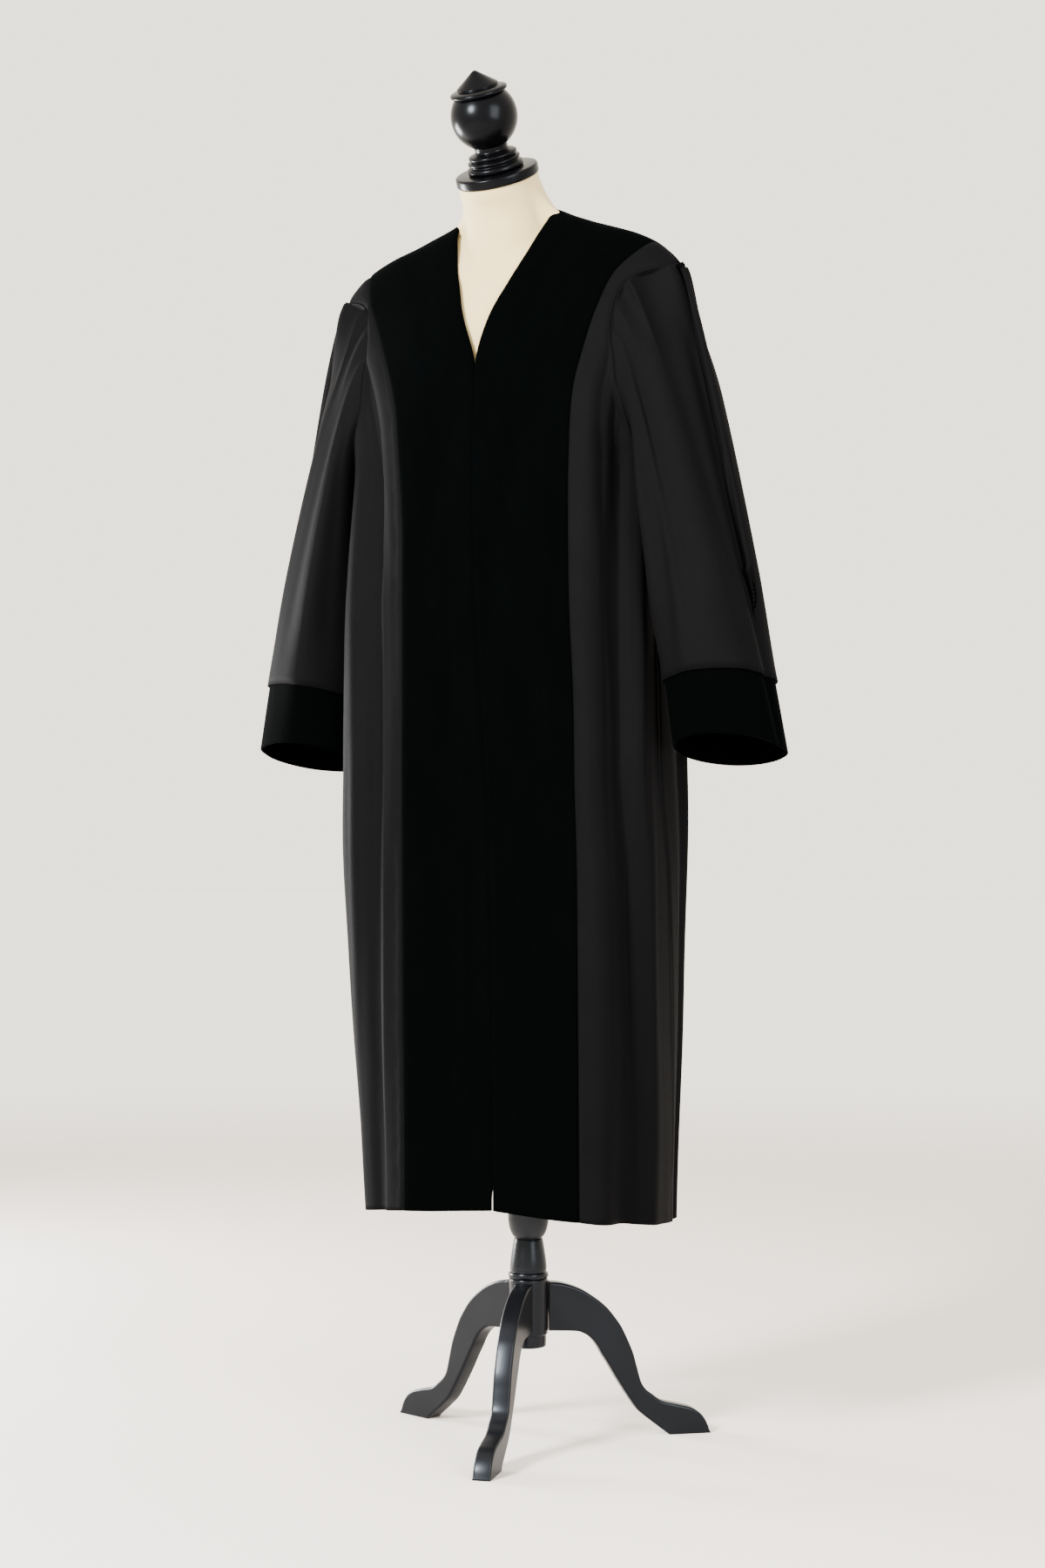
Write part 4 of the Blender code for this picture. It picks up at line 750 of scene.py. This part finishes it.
yoke_rows = 1 - (1 - np.linspace(0, 1, 61)) ** NECK_CROWD
yoke_step = BACK_UPPER + np.linspace(0, 1, 61) * (UPPER - BACK_UPPER)
foot = ring_point(back_turn[-1], back_z[-1])
arm = ring_point(armhole(yoke_step, 3), armhole(yoke_step, 1))
ridge = np.clip(from_seam / SHOULDER_COLUMNS, 0, 1)
neck_share = np.clip((column - SHOULDER_COLUMNS) / (BACK_COLUMNS - 2 * SHOULDER_COLUMNS), 0, 1)
neck_top = NECK_TOP[0] * (1 - neck_share) + NECK_TOP[1] * neck_share
head = ring_point(90 + 180 * neck_share, TIP + (neck_top - TIP) * ridge)
yoke_xz = []
for axis, mirror in ((0, -1), (2, 1)):
    v, edge = yoke_rows[:, None], arm[:, axis][:, None]
    straight = (1 - v) * foot[0, axis] + v * head[0, axis]
    yoke_xz.append((1 - v) * foot[:, axis] + v * head[:, axis]
                   + (edge - straight) * (1 - across) + mirror * (edge - straight) * across)
yoke_turn = back_angle(yoke_xz[0], yoke_xz[1])
yoke_turn[:, 0], yoke_turn[:, -1] = armhole(yoke_step, 3), 360 - armhole(yoke_step, 3)
yoke_turn[-1] = 90 + 180 * neck_share
on_ridge = (neck_share <= 0) | (neck_share >= 1)
away = np.degrees(0.0004 / np.abs(head[:, 0]).clip(0.05)) * on_ridge
yoke_turn[-1] += np.where(column < BACK_COLUMNS / 2, away, -away)
yoke_z = yoke_xz[1].copy()
yoke_z[0] += 0.00036
from_foot = np.maximum(yoke_z - yoke_z[0], 0)
yoke_lift = (-SEAM_DIP * (1 - ramp(0, SEAM_WIDE, from_foot))
             + waver(share * 0.6, yoke_z, HANG) * 0.5 * ramp(0, 0.03, from_foot)
             * ramp(0.0, 0.03, neck_top - yoke_z) * ramp(0, 0.05, np.minimum(share, 1 - share)))
points, quads, threads = panel(yoke_turn, yoke_z, yoke_lift, VELVET_OUT, VELVET_WALL)
robe_yoke = add_piece("robe_yoke", points, quads, velvet.material, ["back_yoke"],
                      threads)


# ---------------------------------------------------------------------------
# The side fronts: a long panel of wool each side, from a strip on the shoulder to the hem,
# between the velvet and the side seam. Deep folds hang from where the chest is fullest.

VEE = 1.355
VEE_STEPS = 6  # steps from the underarm's height to the V's point
BAND_TOP = 1.477
# height, x of the centre front edge
CENTRE_FRONT = np.array([
    (0.260, 0.0325), (0.710, 0.0300), (0.830, 0.0245), (0.950, 0.0155),
    (1.080, 0.0075), (1.205, 0.0050), (1.355, 0.0025)])
# height, x of the V's edge on the wearer's left and right
VEE_EDGE = np.array([
    (1.260, 0.0046, 0.0046), (1.300, 0.0043, 0.0037), (1.325, 0.0044, 0.0030),
    (1.337, 0.0049, 0.0018), (1.355, 0.0078, -0.0034), (1.390, 0.0180, -0.0180),
    (1.438, 0.0370, -0.0370), (1.485, 0.0545, -0.0545), (1.531, 0.0648, -0.0700),
    (1.5345, 0.0640, -0.0700)])
# height, distance of the velvet's outer edge on the wearer's left and right
BAND_EDGE = np.array([
    (0.260, 0.1455, 0.0985), (0.700, 0.1475, 0.0975), (0.820, 0.1450, 0.0970),
    (0.925, 0.1430, 0.0970), (1.030, 0.1375, 0.0975), (1.150, 0.1350, 0.0985),
    (1.240, 0.1345, 0.1080), (1.300, 0.1375, 0.1190), (1.345, 0.1465, 0.1360),
    (1.400, 0.1590, 0.1640), (1.441, 0.1730, 0.1880), (1.477, 0.2050, 0.2050)])
# number, share of the panel's width at the hem and at the underarm, height of the fold
LEFT_FOLDS = np.array([
    (0, 0.000, 0.000, 0.0000), (1, 0.065, 0.090, 0.0030), (2, 0.130, 0.190, 0.0055),
    (3, 0.195, 0.270, 0.0020), (4, 0.255, 0.340, -0.0050), (5, 0.320, 0.420, -0.0115),
    (6, 0.400, 0.520, -0.0145), (7, 0.500, 0.620, -0.0030), (8, 0.610, 0.720, 0.0060),
    (9, 0.730, 0.820, 0.0035), (10, 0.860, 0.910, 0.001), (11, 1.000, 1.000, 0.0000)])
RIGHT_FOLDS = np.array([
    (0, 0.000, 0.000, 0.000), (1, 0.070, 0.100, -0.001), (2, 0.130, 0.190, -0.001),
    (3, 0.170, 0.250, -0.006), (4, 0.220, 0.320, -0.005), (5, 0.290, 0.410, 0.002),
    (6, 0.370, 0.500, 0.008), (7, 0.470, 0.600, 0.006), (8, 0.600, 0.710, -0.002),
    (9, 0.730, 0.810, -0.005), (10, 0.870, 0.910, 0.001), (11, 1.000, 1.000, 0.000)])
# distance from the velvet's edge at the top and at the foot, heights of both ends, half
# width, height, lean
LEFT_CREASES = (
    (0.036, 0.040, 1.40, 1.10, 0.0050, -0.0022, 0.2),
    (0.050, 0.049, 1.37, 1.14, 0.0040, 0.0014, 0.0),
    (0.058, 0.062, 1.36, 1.12, 0.0042, -0.0018, 0.2),
    (0.045, 0.052, 1.05, 0.40, 0.0060, 0.0014, 0.0),
    (0.070, 0.072, 0.95, 0.33, 0.0065, -0.0014, 0.2),
    (0.016, 0.014, 1.22, 0.60, 0.0070, 0.0009, 0.0),
    (0.098, 0.104, 0.88, 0.34, 0.0060, 0.0012, 0.0))
RIGHT_CREASES = (
    (0.048, 0.046, 1.40, 1.04, 0.0200, -0.0050, 0.0),
    (0.034, 0.038, 1.40, 1.12, 0.0055, -0.0020, 0.2),
    (0.052, 0.056, 1.36, 1.14, 0.0045, 0.0014, 0.0),
    (0.060, 0.052, 1.00, 0.35, 0.0080, 0.0012, 0.0),
    (0.085, 0.090, 0.90, 0.32, 0.0070, -0.0014, 0.2),
    (0.020, 0.015, 1.24, 0.70, 0.0080, 0.0008, 0.0))
low_rows = np.linspace(0, 1, 151)
knots = np.linspace(0, UPPER, 85)[1:]
arm_share = 1 - (1 - knots / UPPER) ** ARMHOLE_CROWD
over_vee = (knots.clip(VEE_STEPS) - VEE_STEPS) / (UPPER - VEE_STEPS)
vee_sides = [np.where(knots <= VEE_STEPS, UNDERARM + (VEE - UNDERARM) * knots / VEE_STEPS,
                      VEE + (top - VEE) * (1 - (1 - over_vee) ** NECK_CROWD))
             for top in NECK_TOP]
band_z = UNDERARM + (BAND_TOP - UNDERARM) * arm_share
front_c = np.linspace(0, 11, 78)
edges = {}
for side, name, folds, creases in ((1, "left", LEFT_FOLDS, LEFT_CREASES),
                                   (-1, "right", RIGHT_FOLDS, RIGHT_CREASES)):
    which = 1 if side > 0 else 2
    band_turn = front_angle(row_at(BAND_EDGE, band_z, which) * side, band_z)
    band_turn[-1] = 90.0 * side
    band = upright(lambda z: front_angle(row_at(BAND_EDGE, z, which) * side, z), band_z,
                   band_turn, low_rows)
    seam = upright(lambda z: row_at(SIDE_SEAM, z, 1) * side, armhole(knots, 1),
                   armhole(knots, 2) * side, low_rows)
    edges[name] = band
    rise = ramp(HEM[0], UNDERARM, np.minimum(seam[1], UNDERARM))
    stands = (row_at(folds, front_c, 1)
              + (row_at(folds, front_c, 2) - row_at(folds, front_c, 1)) * rise)
    turn = band[0] * (1 - stands) + seam[0] * stands
    z = band[1] * (1 - stands) + seam[1] * stands
    # Folds hang straight: above the underarm each keeps its distance from the velvet
    plain = ring_point(turn, z)
    reach = np.concatenate([np.zeros((len(z), 1)), np.linalg.norm(
        np.diff(plain, axis=1), axis=-1).cumsum(1)], 1)
    underarm = len(low_rows) - 1
    upper = np.interp(reach / reach[underarm, -1], row_at(folds, front_c, 2), front_c)
    own = np.where(np.arange(len(z))[:, None] > underarm, upper, front_c)
    from_edge = np.minimum(reach, reach[:, -1:] - reach)
    calm = ramp(0, 0.012, from_edge)
    on_seam = np.where(np.arange(len(z))[:, None] > underarm, ramp(
        0, 0.014, reach[:, -1:] - reach), 1.0)
    lift = (row_at(folds, own, 3) * ramp(1.385, 1.190, z) * on_seam
            + crease(reach, z, creases) * calm + waver(reach * 2, z, HANG) * calm)
    lift = lift + 0.0016 * np.exp(-((reach[:, -1:] - reach - 0.0042) / 0.0016) ** 2) * ramp(
        1.02, 0.97, z) * ramp(0.30, 0.36, z)
    lift = lift + 0.0003 * np.sin(150 * z + 2.2 * np.sin(31 * z)) * np.exp(
        -((reach - 0.007) / 0.005) ** 2)
    below_arm = 0.005 * (np.arange(len(z)) < underarm)
    allowances = (0.005, below_arm)
    if side < 0:
        turn, z, lift = turn[:, ::-1], z[:, ::-1], lift[:, ::-1]
        allowances = (below_arm, 0.005)
    points, quads, threads = panel(turn, z, lift, WOOL_OUT, WOOL_WALL,
                                   under_first=allowances[0], under_last=allowances[1])
    piece = add_piece(f"robe_front_{name}", points, quads, wool.material,
                      [f"front_{name}"], threads)


# ---------------------------------------------------------------------------
# The velvet bands: two strips of black cotton velvet that meet edge to edge down the
# centre front, over a hidden closure, and widen to the shoulder seams round the V neck.

# share of the band's width at the top and at the foot, heights of both ends, half width,
# height, lean
BAND_CREASES = (
    (0.30, 0.35, 1.10, 0.35, 0.10, 0.0012, 0.0), (0.70, 0.62, 1.25, 0.50, 0.09, -0.0012, 0.0),
    (0.50, 0.55, 0.95, 0.31, 0.12, 0.0010, 0.2))
strip = np.linspace(0, 1, 61)[None, :]
for side, name in ((1, "left"), (-1, "right")):
    vee_z = vee_sides[0 if side > 0 else 1]
    centre_x = np.where(vee_z > VEE_EDGE[0, 0], row_at(VEE_EDGE, vee_z, 1 if side > 0 else 2),
                        row_at(CENTRE_FRONT, vee_z, 1))
    centre_turn = front_angle(centre_x, vee_z)
    centre_turn[-1] = 90.0 * side
    centre = upright(lambda z: front_angle(row_at(CENTRE_FRONT, z, 1), z), vee_z, centre_turn,
                     low_rows)
    band = edges[name]
    turn = centre[0] * (1 - strip) + band[0] * strip
    z = centre[1] * (1 - strip) + band[1] * strip
    lift = (-0.003 * np.sin(math.pi * strip) ** 2 * ramp(1.370, 1.190, z)
            + crease(strip, z, BAND_CREASES) * np.sin(math.pi * strip)
            + waver(strip * 0.3, z, HANG) * 0.5 * np.sin(math.pi * strip))
    parting = 0.0023 * ramp(0.348, 0.314, centre[1])
    if side < 0:
        turn, z, lift = turn[:, ::-1], z[:, ::-1], lift[:, ::-1]
    first, last = (parting[:, :1], 0.0) if side > 0 else (0.0, parting[:, :1])
    # Under the closed edge runs a velvet underlap, from below the V to above the hem
    height = centre[1][:, 0]
    underlap = None if side > 0 else 0.012 * ramp(1.300, 1.285, height) * ramp(0.345, 0.37, height)
    points, quads, threads = panel(turn, z, lift, VELVET_OUT, VELVET_WALL, first, last,
                                   under_last=underlap)
    piece = add_piece(f"robe_velvet_{name}", points, quads, velvet.material,
                      [f"velvet_{name}"], threads)


# ---------------------------------------------------------------------------
# The sleeves: wide tubes of wool, sewn up underneath, their heads laid in small pleats over
# the shoulder tip. The cuffs: deep bands of velvet sewn on over the sleeve ends.

# the ring's height, x and y, half width inside and outside, half depth in front and behind
CUFF_HEAD = (0.947, 0.2850, -0.040, 0.0590, 0.0700, 0.0700, 0.0620)
CUFF_FOOT = (0.8585, 0.3000, -0.040, 0.0680, 0.0760, 0.0640, 0.0600)
# angle round the sleeve at the head and at the cuff (0 outer, 90 front, 180 inner), half
# width in degrees, height, share of the length where the fold starts
SLEEVE_FOLDS = (
    (2.0, 6.0, 9.0, 0.007, 0.10), (-24.0, -22.0, 14.0, -0.007, 0.12),
    (-60.0, -62.0, 16.0, 0.006, 0.18), (-100.0, -104.0, 14.0, -0.005, 0.25))
LEFT_DRAG = ((112.0, 140.0, 13.0, -0.009, 0.20), (76.0, 80.0, 13.0, 0.006, 0.12),
             (43.0, 44.0, 15.0, -0.0065, 0.04), (9.0, 4.0, 3.6, 0.0030, 0.08),
             (22.0, 26.0, 8.0, 0.0012, 0.12),
             (92.0, 114.0, 15.0, 0.0060, 0.40), (-42.0, -44.0, 7.0, 0.0012, 0.10),
             (16.0, 14.0, 5.0, -0.0016, 0.20), (160.0, 165.0, 10.0, -0.0015, 0.35))
RIGHT_DRAG = ((30.0, 34.0, 13.0, -0.005, 0.15), (102.0, 100.0, 14.0, -0.007, 0.20),
              (64.0, 66.0, 17.0, 0.005, 0.16),
              (40.0, 46.0, 9.0, 0.0010, 0.10), (80.0, 86.0, 9.0, -0.0007, 0.30),
              (118.0, 130.0, 10.0, 0.0015, 0.25), (-46.0, -40.0, 8.0, 0.0012, 0.12),
              (20.0, 12.0, 6.0, -0.0012, 0.15), (150.0, 158.0, 9.0, -0.0015, 0.40))
SLEEVE_AROUND, SLEEVE_DOWN = 196, 141
PLEAT_DEPTH = 0.0075


def oval(spec, rise, turn):
    """Ring of four quarter ellipses, tipped so that it rises with x and with y."""
    height, x, y, inside, outside, front, behind = spec
    px = np.where(np.cos(turn) > 0, outside, inside) * np.cos(turn)
    py = -np.where(np.sin(turn) > 0, front, behind) * np.sin(turn)
    return np.stack([x + px, y + py, height + px * rise[0] + py * rise[1]], -1)


def tube_out(grid):
    """Outward normals of a tube whose rows go down and whose columns go round by the front."""
    return unit(np.cross(np.gradient(grid, axis=0), np.roll(grid, -1, 1) - np.roll(grid, 1, 1)))


def bells(degrees, steps, rows):
    """Folds down a sleeve: height times exp(-(angle from the fold's line / width) ** 2)."""
    total = np.zeros((len(steps), len(degrees)))
    for head, end, wide, height, begin in rows:
        line = head + (end - head) * steps[:, None]
        off = ((degrees[None] - line + 180) % 360 - 180) / wide
        total += height * np.exp(-off ** 2) * (ramp(begin, begin + 0.3, steps)
                                               * (1 - 0.55 * ramp(0.75, 1.0, steps)))[:, None]
    return total


around = np.arange(SLEEVE_AROUND) * 2 * UPPER / SLEEVE_AROUND  # 0 tip, 14 underarm
hole_turn = np.where(around < UPPER, armhole(UPPER - around, 2), armhole(around - UPPER, 3))
hole, hole_out = robe_surface(hole_turn, armhole(np.abs(UPPER - around), 1))
along = unit(np.roll(hole, -1, 0) - np.roll(hole, 1, 0))
into = unit(np.cross(along, hole_out))
into *= np.sign(np.sum(into * (hole.mean(0) - hole), 1, keepdims=True))
lengths = np.linalg.norm(np.roll(hole, -1, 0) - hole, axis=1)
arc = np.concatenate([[0], np.cumsum(lengths)[:-1]]) / lengths.sum()
half = arc[SLEEVE_AROUND // 2]
turn = math.pi * np.where(arc < half, arc / half, 1 + (arc - half) / (1 - half))
down = np.clip(-np.cos(turn), 0, 1)[:, None]
tip = ramp(0.6, 1.0, np.cos(turn))[:, None]
first = unit(np.array((1.0, -0.1, -0.35)) * (1 - down) * (1 - tip)
             + np.array((0.8, -0.2, -0.85)) * tip + np.array((0.30, 0.0, -1.0)) * down)
first = unit(first - along * np.sum(first * along, 1, keepdims=True) * 0.85)
cuff_head, cuff_foot = oval(CUFF_HEAD, (0.11, -0.20), turn), oval(CUFF_FOOT, (0.04, -0.28), turn)
doubled = np.clip(-np.sum(first * into, 1, keepdims=True), 0, 1)
tilt = np.abs(np.sum(unit(np.cross(along, first)) * into, 1, keepdims=True))
start = hole + into * (0.0003 + 0.0008 * tilt) + hole_out * 0.0024 * ramp(0, 0.8, doubled)
length = np.linalg.norm(cuff_head - start, axis=1, keepdims=True)
steps = np.linspace(0, 1, SLEEVE_DOWN) ** 1.25
v = steps[:, None, None]
sleeve = ((2 * v ** 3 - 3 * v ** 2 + 1) * start
          + (v ** 3 - 2 * v ** 2 + v) * first * 0.10 * (0.35 + 0.65 * (1 - down))
          + (3 * v ** 2 - 2 * v ** 3) * cuff_head
          + (v ** 3 - v ** 2) * unit(cuff_foot - cuff_head) * length * 0.9)
tip_far = np.minimum(around, 2 * UPPER - around)
pleat = ((1.7 * np.abs(np.cos(math.pi * tip_far / 2)) - 0.75) * ramp(7.0, 6.0, tip_far)
         * (1 - 0.75 * ramp(2.2, 5.0, tip_far)))
degrees = (np.degrees(turn) + 180) % 360 - 180
fall = np.linspace(0, 1, 45)
for side, name, drag in ((1, "left", LEFT_DRAG), (-1, "right", RIGHT_DRAG)):
    lift = (bells(degrees, steps, SLEEVE_FOLDS) + bells(degrees, steps, drag)
            + PLEAT_DEPTH * pleat * (ramp(0, 0.03, steps) * ramp(0.42, 0.05, steps))[:, None]
            + waver(turn[None] * 0.07 + side, steps[:, None] * 0.5, HANG)
            * ramp(0, 0.15, steps)[:, None] * ramp(1.0, 0.9, steps)[:, None])
    lift = lift - 0.0010 * (1 - ramp(0, 0.012, steps))[:, None]
    tube = sleeve + tube_out(sleeve) * lift[..., None]
    allowance = tube[0] - hole_out * np.array((0.0034, 0.0017))[:, None, None]
    tube = np.concatenate([allowance, tube,
                           (tube[-1] + unit(cuff_foot - cuff_head) * 0.010)[None]])
    mirror = np.array((side, 1, 1))
    order = slice(None, None, side)
    made, out = (tube * mirror)[::-1, order], (tube_out(tube) * mirror)[::-1, order]
    points, quads, threads = shell(made, out, WOOL_OUT, WOOL_WALL, True)
    piece = add_piece(f"robe_sleeve_{name}", points, quads, wool.material,
                      [f"sleeve_{name}"], threads)
    cuff = cuff_head + (cuff_foot - cuff_head) * fall[:, None, None]
    cuff_lift = (lift[-1] * (1 - 0.5 * fall[:, None]) + 0.0032
                 - 0.0008 * (1 - ramp(0, 0.04, fall))[:, None])
    cuff = cuff + tube_out(cuff) * cuff_lift[..., None]
    made, out = (cuff * mirror)[::-1, order], (tube_out(cuff) * mirror)[::-1, order]
    points, quads, threads = shell(made, out, 0.0013, VELVET_WALL, True)
    piece = add_piece(f"robe_cuff_{name}", points, quads, velvet.material,
                      [f"cuff_{name}"], threads)


# ---------------------------------------------------------------------------
# The studio: a pale warm floor and the same pale air round it, a soft light high in front, a
# low one on the wearer's right, a large weak one on the left, and the camera level with the
# hips.

AIR_COLOUR, AIR_BRIGHT = (1.0, 0.93, 0.81), 2.65
floor_mesh = bpy.data.meshes.new("studio_floor")
floor_mesh.from_pydata([(-30, -30, 0), (30, -30, 0), (30, 30, 0), (-30, 30, 0)], [], [(0, 1, 2, 3)])
floor = bpy.data.objects.new("studio_floor", floor_mesh)
bpy.context.scene.collection.objects.link(floor)
# The floor's far side melts into the air's own brightness, as a paper sweep does
pale = Finish("pale_floor", Roughness=0.9, Specular_IOR_Level=0.05, Emission_Strength=AIR_BRIGHT)
away_from = pale.node("ShaderNodeVectorMath", {"operation": "LENGTH"}, {0: pale.place()}, 1)
far = pale.node("ShaderNodeMapRange", {"interpolation_type": "SMOOTHERSTEP"},
                {"Value": away_from, "From Min": 1.3, "From Max": 6.0})
pale.feed(pale.shader.inputs["Base Color"], pale.tint(far, (0.58, 0.535, 0.50), (0, 0, 0)))
pale.feed(pale.shader.inputs["Emission Color"], pale.tint(far, (0, 0, 0), AIR_COLOUR))
floor_mesh.materials.append(pale.material)

air = bpy.data.worlds.new("pale_air")
air.use_nodes = True
air.node_tree.nodes["Background"].inputs["Color"].default_value = (*AIR_COLOUR, 1)
air.node_tree.nodes["Background"].inputs["Strength"].default_value = AIR_BRIGHT
bpy.context.scene.world = air


def add_softbox(name, place, aim, width, height, watts):
    """A rectangle of light that faces the point it is aimed at."""
    light = bpy.data.lights.new(name, "AREA")
    light.shape = "RECTANGLE"
    light.size, light.size_y, light.energy = width, height, watts
    lamp = bpy.data.objects.new(name, light)
    lamp.location = place
    lamp.rotation_euler = (lamp.location - Vector(aim)).to_track_quat("Z", "Y").to_euler()
    bpy.context.scene.collection.objects.link(lamp)


add_softbox("key_softbox", (-0.75, -3.3, 2.3), (0, 0, 1.10), 0.8, 0.9, 640)
add_softbox("side_softbox", (-2.7, 0.1, 0.80), (0, 0, 0.85), 0.7, 0.9, 290)
add_softbox("fill_softbox", (2.7, -1.2, 1.7), (0, 0, 1.1), 1.4, 2.0, 180)

view = bpy.data.cameras.new("view")
view.sensor_fit = "VERTICAL"
view.sensor_height = 36.0
view.lens = 63.774
camera = bpy.data.objects.new("view", view)
camera.location = (1.788, -2.979, 0.751)
camera.rotation_euler = (math.radians(91.165), 0.0, math.radians(30.84))
bpy.context.scene.collection.objects.link(camera)
bpy.context.scene.camera = camera
